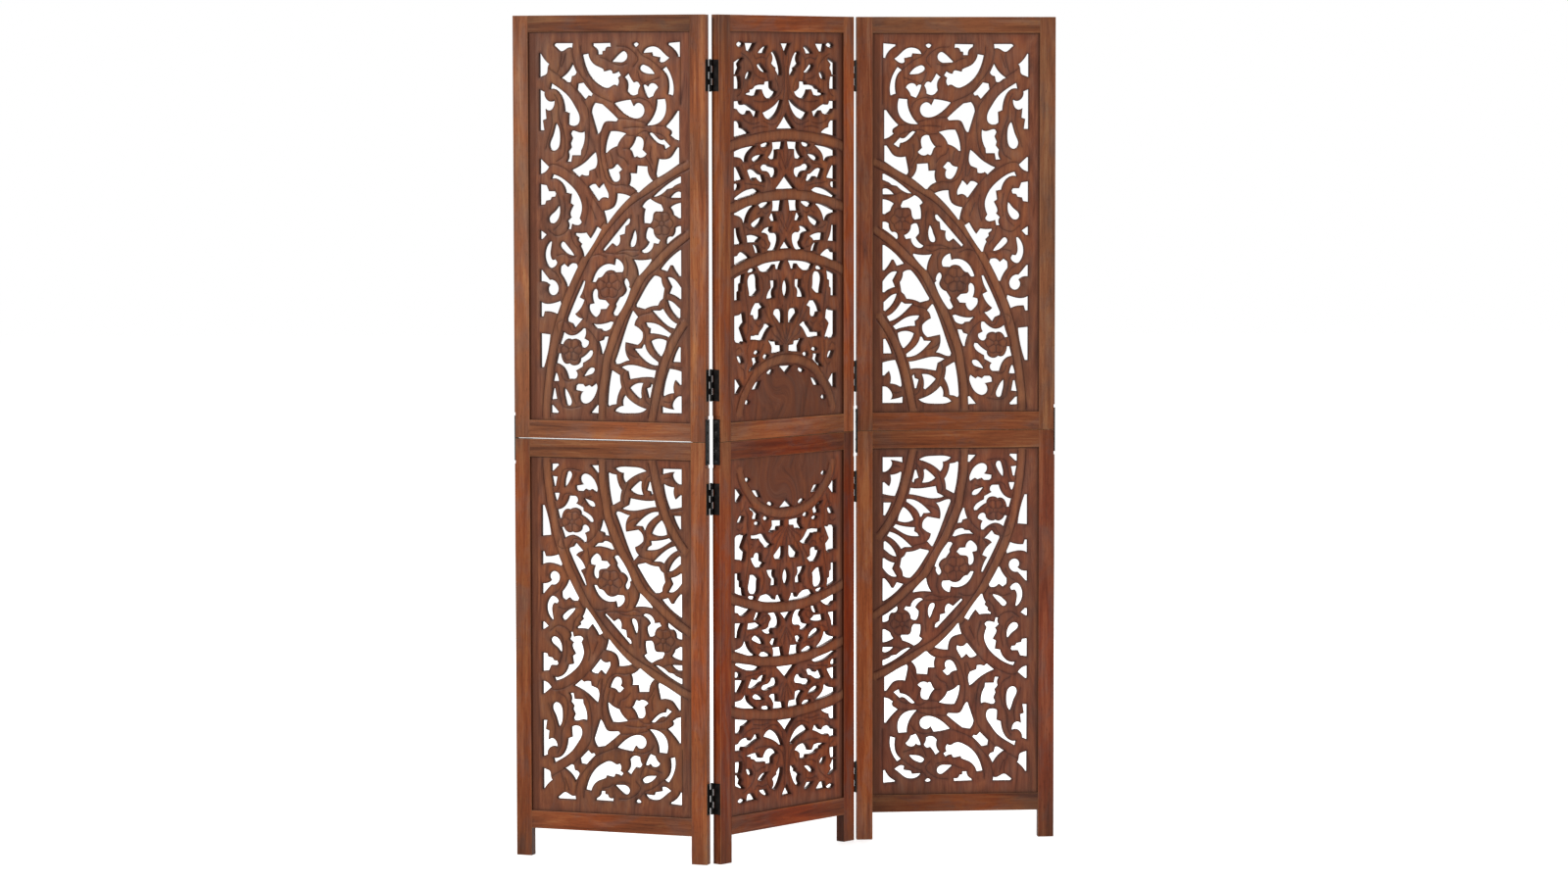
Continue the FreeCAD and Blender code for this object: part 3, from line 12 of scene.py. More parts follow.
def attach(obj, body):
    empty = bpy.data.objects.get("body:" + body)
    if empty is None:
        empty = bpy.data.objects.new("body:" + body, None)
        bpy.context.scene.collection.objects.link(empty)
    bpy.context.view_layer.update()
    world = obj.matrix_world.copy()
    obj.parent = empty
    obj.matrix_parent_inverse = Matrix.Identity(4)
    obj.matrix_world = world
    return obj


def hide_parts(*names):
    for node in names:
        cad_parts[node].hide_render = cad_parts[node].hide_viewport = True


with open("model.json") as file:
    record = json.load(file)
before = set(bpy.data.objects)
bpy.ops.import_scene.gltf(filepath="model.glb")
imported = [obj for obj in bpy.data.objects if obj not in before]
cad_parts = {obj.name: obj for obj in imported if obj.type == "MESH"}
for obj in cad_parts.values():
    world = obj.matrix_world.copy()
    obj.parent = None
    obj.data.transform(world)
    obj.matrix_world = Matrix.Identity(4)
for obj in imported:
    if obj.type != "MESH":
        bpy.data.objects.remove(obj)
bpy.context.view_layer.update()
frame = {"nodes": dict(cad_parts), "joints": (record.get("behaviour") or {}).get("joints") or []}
scene = bpy.context.scene
scene.view_settings.view_transform = "Standard"

# The view. The screen is seen from about nine metres with a long lens, from a little below the
# height of its top, so that its three panels keep upright edges.
camera_data = bpy.data.cameras.new("camera")
camera_data.sensor_width = 36
camera_data.lens = 106.91
camera_data.clip_end = 60
camera = bpy.data.objects.new("camera", camera_data)
camera_place = (-0.1154, -9.1597, 1.4927)
camera_tilt = math.radians(4.234)
camera_yaw = math.radians(-0.6665)
camera_roll = math.radians(-0.073)
camera.matrix_world = (
    Matrix.Translation(camera_place)
    @ Matrix.Rotation(camera_yaw, 4, "Z")
    @ Matrix.Rotation(math.pi / 2 - camera_tilt, 4, "X")
    @ Matrix.Rotation(camera_roll, 4, "Z")
)
scene.collection.objects.link(camera)
scene.camera = camera


# The room. A plain pale floor goes on as a plain pale surround, white to the camera, and large
# soft lamps stand in front, so that the wood has soft lights and the floor keeps its shadow.
def new_material(name):
    material = bpy.data.materials.new(name)
    material.use_nodes = True
    material.node_tree.nodes.clear()
    return material, material.node_tree.nodes, material.node_tree.links


def seen_directly(nodes, links):
    path = nodes.new("ShaderNodeLightPath")
    seen = path.outputs["Is Camera Ray"]
    for kind in ("Is Glossy Ray", "Is Transmission Ray"):
        either = nodes.new("ShaderNodeMath")
        either.operation = "MAXIMUM"
        links.new(seen, either.inputs[0])
        links.new(path.outputs[kind], either.inputs[1])
        seen = either.outputs[0]
    return seen


floor_mesh = bpy.data.meshes.new("floor")
floor_shape = bmesh.new()
bmesh.ops.create_grid(floor_shape, x_segments=1, y_segments=1, size=20)
floor_shape.to_mesh(floor_mesh)
floor_shape.free()
floor = bpy.data.objects.new("floor", floor_mesh)
scene.collection.objects.link(floor)
floor_paint, nodes, links = new_material("floor_paint")
matt = nodes.new("ShaderNodeBsdfDiffuse")
matt.inputs["Color"].default_value = (0.8, 0.8, 0.8, 1)
glow = nodes.new("ShaderNodeEmission")
glow.inputs["Color"].default_value = (1, 1, 1, 1)
floor_glow = 0.60
lift = nodes.new("ShaderNodeMath")
lift.operation = "MULTIPLY"
lift.inputs[1].default_value = floor_glow
links.new(seen_directly(nodes, links), lift.inputs[0])
links.new(lift.outputs[0], glow.inputs["Strength"])
both = nodes.new("ShaderNodeAddShader")
links.new(matt.outputs[0], both.inputs[0])
links.new(glow.outputs[0], both.inputs[1])
surface = nodes.new("ShaderNodeOutputMaterial")
links.new(both.outputs[0], surface.inputs["Surface"])
floor_mesh.materials.append(floor_paint)

world = bpy.data.worlds.new("surround")
scene.world = world
world.use_nodes = True
nodes, links = world.node_tree.nodes, world.node_tree.links
nodes.clear()
room_light = 0.50
background = nodes.new("ShaderNodeBackground")
background.inputs["Color"].default_value = (1, 1, 1, 1)
level = nodes.new("ShaderNodeMapRange")
level.inputs["To Min"].default_value = room_light
level.inputs["To Max"].default_value = 1.0
links.new(seen_directly(nodes, links), level.inputs["Value"])
links.new(level.outputs["Result"], background.inputs["Strength"])
surface = nodes.new("ShaderNodeOutputWorld")
links.new(background.outputs[0], surface.inputs["Surface"])


def soft_lamp(name, place, target, width, height, power):
    data = bpy.data.lights.new(name, "AREA")
    data.shape = "RECTANGLE"
    data.size = width
    data.size_y = height
    data.energy = power
    lamp = bpy.data.objects.new(name, data)
    lamp.location = place
    lamp.rotation_euler = (Vector(target) - Vector(place)).to_track_quat("-Z", "Y").to_euler()
    scene.collection.objects.link(lamp)


soft_lamp("front_lamp", (-4.6, -4.0, 3.8), (0, 0, 0.9), 1.1, 1.1, 233)
soft_lamp("side_lamp", (3.6, -2.6, 2.4), (0, 0, 0.8), 1.4, 1.8, 64)
soft_lamp("back_lamp", (0.6, 4.4, 3.2), (0, 0, 0.9), 2.2, 2.0, 130)

# The wooden frames. Each panel has a lower and an upper frame of stiles and rails in stained
# hardwood, planed smooth with softly broken edges, tenoned together and joined at mid-height.
panel_width = 0.400
panel_depth = 0.020
pin_setback = 0.00275
pin_stand_off = 0.001
fold_places = {joint["name"]: Vector(joint["pos_m"]) for joint in frame["joints"]}


def panel_place(fold, pin_across, pin_deep, turn):
    """Where a panel's own corner, across, depth and height are, from the pin beside it."""
    turned = Matrix.Rotation(math.radians(turn), 4, "Z")
    pin = Vector((fold_places[fold].x, fold_places[fold].y, 0))
    corner = pin - turned @ Vector((pin_across, pin_deep, 0))
    return Matrix.Translation(corner) @ turned


panel_places = {
    "left_panel": panel_place("left_fold", panel_width + pin_setback, panel_depth + pin_stand_off, -20),
    "middle_panel": panel_place("left_fold", -pin_setback, panel_depth + pin_stand_off, 48),
    "right_panel": panel_place("right_fold", -pin_setback, -pin_stand_off, 5),
}


def math_node(nodes, links, operation, first, second, third=None):
    node = nodes.new("ShaderNodeMath")
    node.operation = operation
    for slot, value in enumerate((first, second, third)):
        if value is None:
            continue
        if isinstance(value, (int, float)):
            node.inputs[slot].default_value = value
        else:
            links.new(value, node.inputs[slot])
    return node.outputs[0]


def attribute(nodes, name):
    node = nodes.new("ShaderNodeAttribute")
    node.attribute_name = name
    return node


def stretched_noise(nodes, links, place, scales, detail, roughness=0.55, distortion=0.0):
    """Noise on a piece's own grain, with a scale for each of its three directions."""
    stretch = nodes.new("ShaderNodeMapping")
    stretch.inputs["Scale"].default_value = scales
    links.new(place, stretch.inputs["Vector"])
    noise = nodes.new("ShaderNodeTexNoise")
    noise.inputs["Scale"].default_value = 1
    noise.inputs["Detail"].default_value = detail
    noise.inputs["Roughness"].default_value = roughness
    noise.inputs["Distortion"].default_value = distortion
    links.new(stretch.outputs["Vector"], noise.inputs["Vector"])
    return noise.outputs["Fac"]


def ramp(nodes, links, value, stops):
    node = nodes.new("ShaderNodeValToRGB")
    elements = node.color_ramp.elements
    while len(elements) < len(stops):
        elements.new(0.5)
    for element, (position, colour) in zip(elements, stops):
        element.position = position
        element.color = (*colour, 1)
    links.new(value, node.inputs["Fac"])
    return node.outputs["Color"]


def blended(nodes, links, kind, share, first, second):
    node = nodes.new("ShaderNodeMix")
    node.data_type = "RGBA"
    node.blend_type = kind
    factor = [s for s in node.inputs if s.name == "Factor" and s.type == "VALUE"][0]
    colour_a = [s for s in node.inputs if s.name == "A" and s.type == "RGBA"][0]
    colour_b = [s for s in node.inputs if s.name == "B" and s.type == "RGBA"][0]
    for socket, value in ((factor, share), (colour_a, first), (colour_b, second)):
        if isinstance(value, (int, float)):
            socket.default_value = value
        elif isinstance(value, tuple):
            socket.default_value = (*value, 1)
        else:
            links.new(value, socket)
    return [s for s in node.outputs if s.type == "RGBA"][0]


def srgb(text):
    """A colour written as six hexadecimal digits, in linear light."""
    shares = [int(text[at:at + 2], 16) / 255 for at in (0, 2, 4)]
    return tuple(share / 12.92 if share <= 0.04045 else ((share + 0.055) / 1.055) ** 2.4 for share in shares)


black = (0, 0, 0)
white = (1, 1, 1)


def stained_wood(name, dark, middle, light, carved):
    """Stained hardwood: broad bands, fine streaks and short pores along the grain, and a soft sheen."""
    streak_share = 0.22 if carved else 0.32
    fleck_share = 0.20 if carved else 0.28
    pore_share = 0.30 if carved else 0.55
    # The colour of stain in the hollows, which also paints shade in recesses and beside the carving.
    stain_and_shade_colour = srgb("382722") if carved else srgb("371f17")
    # The colour of the painted shadow that a stile casts on the board beside it, with stain gathered along
    # the frame.
    stile_shadow_colour = srgb("4a2418")
    red_stain = (1.0, 0.66, 0.50)
    stile_shadow_stops = (
        (0.0, black), (0.10, (0.64, 0.64, 0.64)), (0.76, (0.60, 0.60, 0.60)), (0.92, white),
    )
    material, nodes, links = new_material(name)
    place = attribute(nodes, "grain").outputs["Vector"]
    if carved:
        bands = stretched_noise(nodes, links, place, (26, 26, 5.0), 4, 0.62, 2.6)
    else:
        bands = stretched_noise(nodes, links, place, (46, 46, 2.6), 4, 0.6, 1.2)
    streaks = stretched_noise(nodes, links, place, (420, 420, 16), 5, 0.62, 0.4)
    pores = stretched_noise(nodes, links, place, (900, 900, 75), 2, 0.5)
    flecks = stretched_noise(nodes, links, place, (640, 640, 26), 2, 0.5)
    cloud = stretched_noise(nodes, links, place, (9, 9, 4.2), 3, 0.5)
    blotches = stretched_noise(nodes, links, place, (31, 31, 13), 3, 0.6, 0.8)
    tone = math_node(nodes, links, "MULTIPLY", streaks, streak_share)
    tone = math_node(nodes, links, "MULTIPLY_ADD", bands, 1 - streak_share, tone)
    colour = ramp(nodes, links, tone, ((0.28, dark), (0.5, middle), (0.72, light)))
    reddened = ramp(nodes, links, cloud, ((0.40, black), (0.62, white)))
    reddened = math_node(nodes, links, "MULTIPLY", reddened, 0.4)
    colour = blended(nodes, links, "MULTIPLY", reddened, colour, red_stain)
    colour = blended(nodes, links, "MULTIPLY", 1, colour, attribute(nodes, "tint").outputs["Vector"])
    fleck_mask = ramp(nodes, links, flecks, ((0.62, black), (0.74, white)))
    flecked = math_node(nodes, links, "MULTIPLY", fleck_mask, fleck_share)
    colour = blended(nodes, links, "MIX", flecked, colour, light)
    pore_mask = ramp(nodes, links, pores, ((0.30, white), (0.40, black)))
    pitted = math_node(nodes, links, "MULTIPLY", pore_mask, pore_share)
    colour = blended(nodes, links, "MIX", pitted, colour, tuple(part * 0.45 for part in dark))
    dulled = ramp(nodes, links, blotches, ((0.46, black), (0.68, white)))
    depth = nodes.new("ShaderNodeHueSaturation")
    stain_depth = math_node(nodes, links, "MULTIPLY_ADD", cloud, 0.7, attribute(nodes, "tone").outputs["Fac"])
    stain_depth = math_node(nodes, links, "MULTIPLY_ADD", dulled, -0.17, stain_depth)
    links.new(math_node(nodes, links, "ADD", stain_depth, 0.69), depth.inputs["Value"])
    links.new(math_node(nodes, links, "MULTIPLY_ADD", dulled, -0.14, 1.03), depth.inputs["Saturation"])
    links.new(colour, depth.inputs["Color"])
    # Stain in the hollows, and painted shade in recesses and beside the carving.
    stain_and_shade = attribute(nodes, "stain_and_shade").outputs["Fac"]
    stain_and_shade_share = math_node(nodes, links, "MULTIPLY", stain_and_shade, 0.85)
    colour = blended(nodes, links, "MIX", stain_and_shade_share, depth.outputs["Color"], stain_and_shade_colour)
    # A dark band on the board beside one stile: a painted shadow of the stile, with stain gathered along the
    # frame.
    stile_shadow = attribute(nodes, "stile_shadow").outputs["Fac"]
    stile_shadow_share = ramp(nodes, links, stile_shadow, stile_shadow_stops)
    colour = blended(nodes, links, "MIX", stile_shadow_share, colour, stile_shadow_colour)
    # Painted highlight on broken edges and on what stands out of the carving, with wear.
    lit_and_worn = math_node(nodes, links, "MULTIPLY", attribute(nodes, "lit_and_worn").outputs["Fac"], streaks)
    colour = blended(nodes, links, "MIX", lit_and_worn, colour, light)
    shader = nodes.new("ShaderNodeBsdfPrincipled")
    links.new(colour, shader.inputs["Base Color"])
    rough = math_node(nodes, links, "MULTIPLY_ADD", streaks, 0.16, 0.36)
    links.new(rough, shader.inputs["Roughness"])
    shader.inputs["Specular IOR Level"].default_value = 0.10
    shader.inputs["Coat Weight"].default_value = 0.02
    shader.inputs["Coat Roughness"].default_value = 0.3
    height = math_node(nodes, links, "MULTIPLY_ADD", pore_mask, -0.5, streaks)
    bump = nodes.new("ShaderNodeBump")
    bump.inputs["Strength"].default_value = 0.35
    bump.inputs["Distance"].default_value = 0.0006
    links.new(height, bump.inputs["Height"])
    links.new(bump.outputs["Normal"], shader.inputs["Normal"])
    surface = nodes.new("ShaderNodeOutputMaterial")
    links.new(shader.outputs[0], surface.inputs["Surface"])
    return material


frame_wood = stained_wood(
    "stained_frame_wood", srgb("48271a"), srgb("804c31"), srgb("a3744e"), False,
)
edge_break = 0.0008
inner_edge = 0.032
cut_spacing = 0.045
weld_distance = 1e-6
flat_tolerance = 1e-5
rim_angle = math.radians(80)
end_stain = 0.10
end_stain_reach = 0.030
aged_share = 0.6
aged_reach = 0.090
wall_tolerance = 0.0003
straight_share = 0.97
# The frame's inner walls where the board sits: painted shade in that recess, with stain gathered there.
wall_shade_and_stain = 0.8
# Broken edges made lighter: a painted highlight, with wear.
edge_highlight_and_wear = 0.7
log_steps = (0.37, 0.61, 1.9)
# The ways that the stain turned, as shares of red, green and blue, and how it greyed at the ends.
stain_tints = {
    "pale": (0.98, 1.20, 1.40),
    "tan": (1.0, 1.10, 1.26),
    "plain": (1.0, 1.0, 1.0),
    "orange": (1.0, 0.86, 0.80),
    "rust": (1.0, 0.74, 0.68),
    "red": (1.0, 0.57, 0.46),
    "deep red": (0.98, 0.50, 0.40),
    "plum": (1.0, 0.92, 1.06),
    "wine": (1.0, 0.80, 1.0),
    "rose": (1.0, 0.91, 1.14),
    "dusk": (1.0, 1.0, 1.10),
    "brick": (1.0, 0.68, 0.60),
}
aged_tint = Vector((0.80, 0.92, 1.05))
# How deep each piece took the stain, at its start, its middle and its end, and which way it turned.
frame_tones = {
    "left_panel_upper_left_stile": ((0.12, 0.22, -0.02), "pale"),
    "left_panel_upper_right_stile": ((0.00, 0.12, -0.06), "plain"),
    "left_panel_upper_top_rail": ((-0.36, -0.28, -0.38), "plain"),
    "left_panel_upper_bottom_rail": ((0.16, 0.26, 0.14), "plain"),
    "left_panel_lower_left_stile": ((-0.12, -0.10, -0.12), "orange"),
    "left_panel_lower_right_stile": ((0.10, 0.20, 0.14), "orange"),
    "left_panel_lower_top_rail": ((-0.04, 0.00, -0.04), "plain"),
    "left_panel_lower_bottom_rail": ((0.00, 0.02, -0.02), "orange"),
    "middle_panel_upper_left_stile": ((0.02, 0.06, -0.08), "orange"),
    "middle_panel_upper_right_stile": ((0.26, 0.30, 0.16), "rust"),
    "middle_panel_upper_top_rail": ((0.00, 0.04, -0.08), "orange"),
    "middle_panel_upper_bottom_rail": ((0.10, 0.16, 0.06), "orange"),
    "middle_panel_lower_left_stile": ((-0.10, -0.10, 0.04), "red"),
    "middle_panel_lower_right_stile": ((-0.16, -0.26, -0.22), "deep red"),
    "middle_panel_lower_top_rail": ((-0.14, -0.24, -0.28), "deep red"),
    "middle_panel_lower_bottom_rail": ((0.00, 0.04, -0.04), "red"),
    "right_panel_upper_left_stile": ((-0.02, -0.02, -0.06), "plum"),
    "right_panel_upper_right_stile": ((-0.12, -0.10, -0.10), "pale"),
    "right_panel_upper_top_rail": ((-0.12, -0.12, -0.18), "pale"),
    "right_panel_upper_bottom_rail": ((-0.06, -0.04, -0.08), "orange"),
    "right_panel_lower_left_stile": ((0.36, 0.38, 0.28), "orange"),
    "right_panel_lower_right_stile": ((-0.28, -0.30, -0.24), "wine"),
    "right_panel_lower_top_rail": ((-0.06, -0.04, -0.08), "orange"),
    "right_panel_lower_bottom_rail": ((-0.40, -0.34, -0.40), "rust"),
}
grain_turns = {
    "upright": Matrix.Identity(3),
    "level": Matrix.Rotation(math.pi / 2, 3, "Y"),
}


def finished_piece(name, shape, panel, node, material):
    """A piece from a shape in its panel's own frame. It rides on the panel in the node's stead."""
    shape.transform(panel_places[panel])
    mesh = bpy.data.meshes.new(name)
    shape.to_mesh(mesh)
    shape.free()
    mesh.materials.append(material)
    piece = bpy.data.objects.new(name, mesh)
    scene.collection.objects.link(piece)
    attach(piece, panel)
    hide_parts(node)
    return piece


def copied_shape(node, panel):
    """A merged copy of a solid, in its panel's own frame."""
    shape = bmesh.new()
    shape.from_mesh(frame["nodes"][node].data)
    bmesh.ops.remove_doubles(shape, verts=shape.verts[:], dist=weld_distance)
    shape.transform(panel_places[panel].inverted())
    shape.normal_update()
    return shape


def lay_grain(shape, way, number):
    """Gives each point its place along and across the grain. Every piece is cut elsewhere in the log."""
    layer = shape.verts.layers.float_vector.new("grain")
    cut_from = Vector([step * number for step in log_steps])
    for vert in shape.verts:
        vert[layer] = grain_turns[way] @ vert.co + cut_from


def broken_edges(node, panel):
    """A frame piece with its long edges and end edges broken."""
    shape = copied_shape(node, panel)
    bmesh.ops.dissolve_limit(
        shape, angle_limit=math.radians(1), verts=shape.verts[:], edges=shape.edges[:],
    )
    low = Vector(min(v.co[axis] for v in shape.verts) for axis in range(3))
    high = Vector(max(v.co[axis] for v in shape.verts) for axis in range(3))
    rims = []
    for edge in shape.edges:
        if len(edge.link_faces) != 2:
            continue
        if edge.calc_face_angle_signed() < rim_angle:
            continue
        outer = 0
        for axis in range(3):
            first, last = (vert.co[axis] for vert in edge.verts)
            to_side = min(abs(first - low[axis]), abs(first - high[axis]))
            if abs(first - last) < flat_tolerance and to_side < flat_tolerance:
                outer += 1
        if outer >= 2:
            rims.append(edge)
    bmesh.ops.bevel(
        shape, geom=rims, offset=edge_break, offset_type="OFFSET", affect="EDGES",
        segments=2, profile=0.5, material=-1, clamp_overlap=True,
    )
    return shape


def cut_across(shape, axis):
    """More points along a piece, so that its stain can change on the way."""
    low = min(vert.co[axis] for vert in shape.verts)
    high = max(vert.co[axis] for vert in shape.verts)
    count = round((high - low) / cut_spacing)
    normal = Vector((0, 0, 0))
    normal[axis] = 1
    for cut in range(1, count):
        place = Vector((0, 0, 0))
        place[axis] = low + (high - low) * cut / count
        bmesh.ops.bisect_plane(
            shape, geom=shape.verts[:] + shape.edges[:] + shape.faces[:],
            dist=1e-7, plane_co=place, plane_no=normal,
        )


def lay_stain(shape, axis, tones, tint):
    """Gives each point how deep the stain went in there, and its tint, which has greyed at the ends."""
    tone_layer = shape.verts.layers.float.new("tone")
    tint_layer = shape.verts.layers.float_vector.new("tint")
    low = min(vert.co[axis] for vert in shape.verts)
    high = max(vert.co[axis] for vert in shape.verts)
    start, middle, end = tones
    for vert in shape.verts:
        share = (vert.co[axis] - low) / (high - low)
        if share < 0.5:
            tone = start + (middle - start) * share * 2
        else:
            tone = middle + (end - middle) * (share * 2 - 1)
        to_end = min(vert.co[axis] - low, high - vert.co[axis])
        tone -= end_stain * max(0, 1 - to_end / end_stain_reach)
        vert[tone_layer] = tone
        aged = aged_share * math.exp(-(to_end / aged_reach) ** 2)
        vert[tint_layer] = Vector(stain_tints[tint]).lerp(aged_tint, aged)


def finish_faces(shape, part):
    """The wall that the board meets is darker, a painted shade in that recess over stain gathered there, and
    broken edges are lighter, a painted highlight with wear.
    """
    layer = shape.loops.layers.float.new("stain_and_shade")
    lit_and_worn_layer = shape.loops.layers.float.new("lit_and_worn")
    low = min(vert.co.z for vert in shape.verts)
    high = max(vert.co.z for vert in shape.verts)
    for face in shape.faces:
        at = face.calc_center_median()
        inner = {
            "left_stile": at.x > inner_edge - wall_tolerance,
            "right_stile": at.x < panel_width - inner_edge + wall_tolerance,
            "top_rail": at.z < low + wall_tolerance,
            "bottom_rail": at.z > high - wall_tolerance,
        }[part]
        is_edge = max(abs(lean) for lean in face.normal) < straight_share
        for loop in face.loops:
            loop[layer] = wall_shade_and_stain if inner else 0.0
            loop[lit_and_worn_layer] = edge_highlight_and_wear if is_edge and not inner else 0.0


# Where the left panel's frames meet, its rails and outer stiles stop a little short, and light
# comes through the joint as a thin line.
joint_height = 0.825
joint_reach = 0.003
short_pieces = {
    "left_panel_upper_bottom_rail": 0.0009,
    "left_panel_upper_left_stile": 0.0007,
    "left_panel_lower_top_rail": -0.0009,
    "left_panel_lower_left_stile": -0.0007,
}
frame_parts = (
    ("left_stile", "upright", 2),
    ("right_stile", "upright", 2),
    ("top_rail", "level", 0),
    ("bottom_rail", "level", 0),
)
frame_number = 0
for panel in panel_places:
    for level in ("lower", "upper"):
        for part, way, axis in frame_parts:
            node = f"{panel}_{level}_{part}"
            frame_number += 1
            shape = broken_edges(node, panel)
            if node in short_pieces:
                for vert in shape.verts:
                    if abs(vert.co.z - joint_height) < joint_reach:
                        vert.co.z += short_pieces[node]
            cut_across(shape, axis)
            lay_grain(shape, way, frame_number)
            lay_stain(shape, axis, *frame_tones[node])
            finish_faces(shape, part)
            finished_piece(f"{node}_wood", shape, panel, node, frame_wood)

# The carved boards. Each frame holds a thin board of the same wood, sawn through with leaves,
# stems and flowers, carved round on both faces, and stained darker in its hollows, with painted
# shade and painted highlight laid over the carving.
carved_wood = stained_wood(
    "stained_carved_wood", srgb("47271e"), srgb("724632"), srgb("906040"), True,
)
board_front = 0.005
board_back = 0.015
groove_depth = 0.0057
point_spacing = 0.0026
grid_spacing = 0.0032
rim_rows = (0.0011, 0.0027)
tiny_length = 1e-7
probe_start = board_front - 0.01
probe_reach = 0.02
crease_angle = math.radians(62)


def split_run(start, end, spacing):
    steps = max(1, math.ceil((end - start).length / spacing))
    return [start.lerp(end, step / steps) for step in range(steps)]


def opening_widths(count, edges, sides):
    """For each outline point, how wide its opening is: four times its area over its edge's length."""
    leader = list(range(count))

    def lead(number):
        while leader[number] != number:
            leader[number] = leader[leader[number]]
            number = leader[number]
        return number

    for first, last in edges:
        leader[lead(first)] = lead(last)
    areas, lengths = {}, {}
    for first, area, length in sides:
        opening = lead(first)
        areas[opening] = areas.get(opening, 0) + area
        lengths[opening] = lengths.get(opening, 0) + length
    return [4 * abs(areas[lead(number)]) / lengths[lead(number)] for number in range(count)]


def board_outline(shape):
    """The front face's edges as runs of close points, with the way into the wood at each."""
    hidden = [face for face in shape.faces if face.normal.y > -0.9]
    bmesh.ops.delete(shape, geom=hidden, context="FACES")
    points, inwards, edges, sides, places = [], [], [], [], {}

    def point_at(vert):
        if vert.index not in places:
            places[vert.index] = len(points)
            points.append(Vector((vert.co.x, vert.co.z)))
            inwards.append(Vector((0, 0)))
        return places[vert.index]

    shape.verts.index_update()
    for edge in shape.edges:
        if len(edge.link_faces) != 1:
            continue
        first, last = (point_at(vert) for vert in edge.verts)
        start, end = points[first], points[last]
        along = end - start
        if along.length < tiny_length:
            continue
        inward = Vector((-along.y, along.x)).normalized()
        middle = edge.link_faces[0].calc_center_median()
        if (Vector((middle.x, middle.z)) - start).dot(inward) < 0:
            inward = -inward
        chain = [first]
        for point in split_run(start, end, point_spacing)[1:]:
            chain.append(len(points))
            points.append(point)
            inwards.append(inward.copy())
        chain.append(last)
        inwards[first] += inward
        inwards[last] += inward
        edges.extend(zip(chain, chain[1:]))
        sides.append((first, inward.dot((start + end) / 2) * along.length / 2, along.length))
    return points, inwards, edges, opening_widths(len(points), edges, sides)


def nearest_of(points):
    tree = KDTree(max(1, len(points)))
    for number, point in enumerate(points):
        tree.insert((point.x, point.y, 0), number)
    tree.balance()
    return tree


def distance_to(tree, point):
    found = tree.find((point.x, point.y, 0))
    return found[2] if found[2] is not None else 1.0


def rounded(distance, reach):
    """From 0 at a line to 1 at its reach, as the quarter of a round."""
    share = min(distance / reach, 1)
    return math.sqrt(1 - (1 - share) ** 2)


def smooth_curve(points, spacing):
    """Close points on a smooth line through the given ones."""
    out = []
    padded = [points[0] * 2 - points[1]] + list(points) + [points[-1] * 2 - points[-2]]
    for before, start, end, after in zip(padded, padded[1:], padded[2:], padded[3:]):
        steps = max(1, math.ceil((end - start).length / spacing))
        for step in range(steps):
            t = step / steps
            out.append(0.5 * (
                2 * start + (end - before) * t + (2 * before - 5 * start + 4 * end - after) * t ** 2
                + (3 * start - before - 3 * end + after) * t ** 3
            ))
    out.append(points[-1].copy())
    return out


# The carving's lines, drawn as shares of a field: across it, and away from the joint at mid
# height. Those of the left panel come first. The right panel mirrors them.
side_strap_shares = (
    ((.04, -.02), (.04, 0), (.05, .05), (.065, .10), (.085, .15), (.11, .20), (.145, .25), (.19, .30),
     (.245, .35),
     (.305, .40), (.38, .45), (.47, .50), (.585, .55), (.66, .575), (.76, .60), (.86, .625),
     (.965, .65), (1.05, .667)),
    ((.435, -.02), (.435, 0), (.44, .05), (.46, .10), (.48, .15), (.525, .20), (.575, .25),
     (.64, .30), (.70, .35),
     (.745, .375), (.82, .40), (.88, .425), (.95, .45), (1.05, .48)),
    ((.79, -.02), (.80, 0), (.825, .05), (.855, .10), (.895, .15), (.955, .20), (1.02, .24)),
)
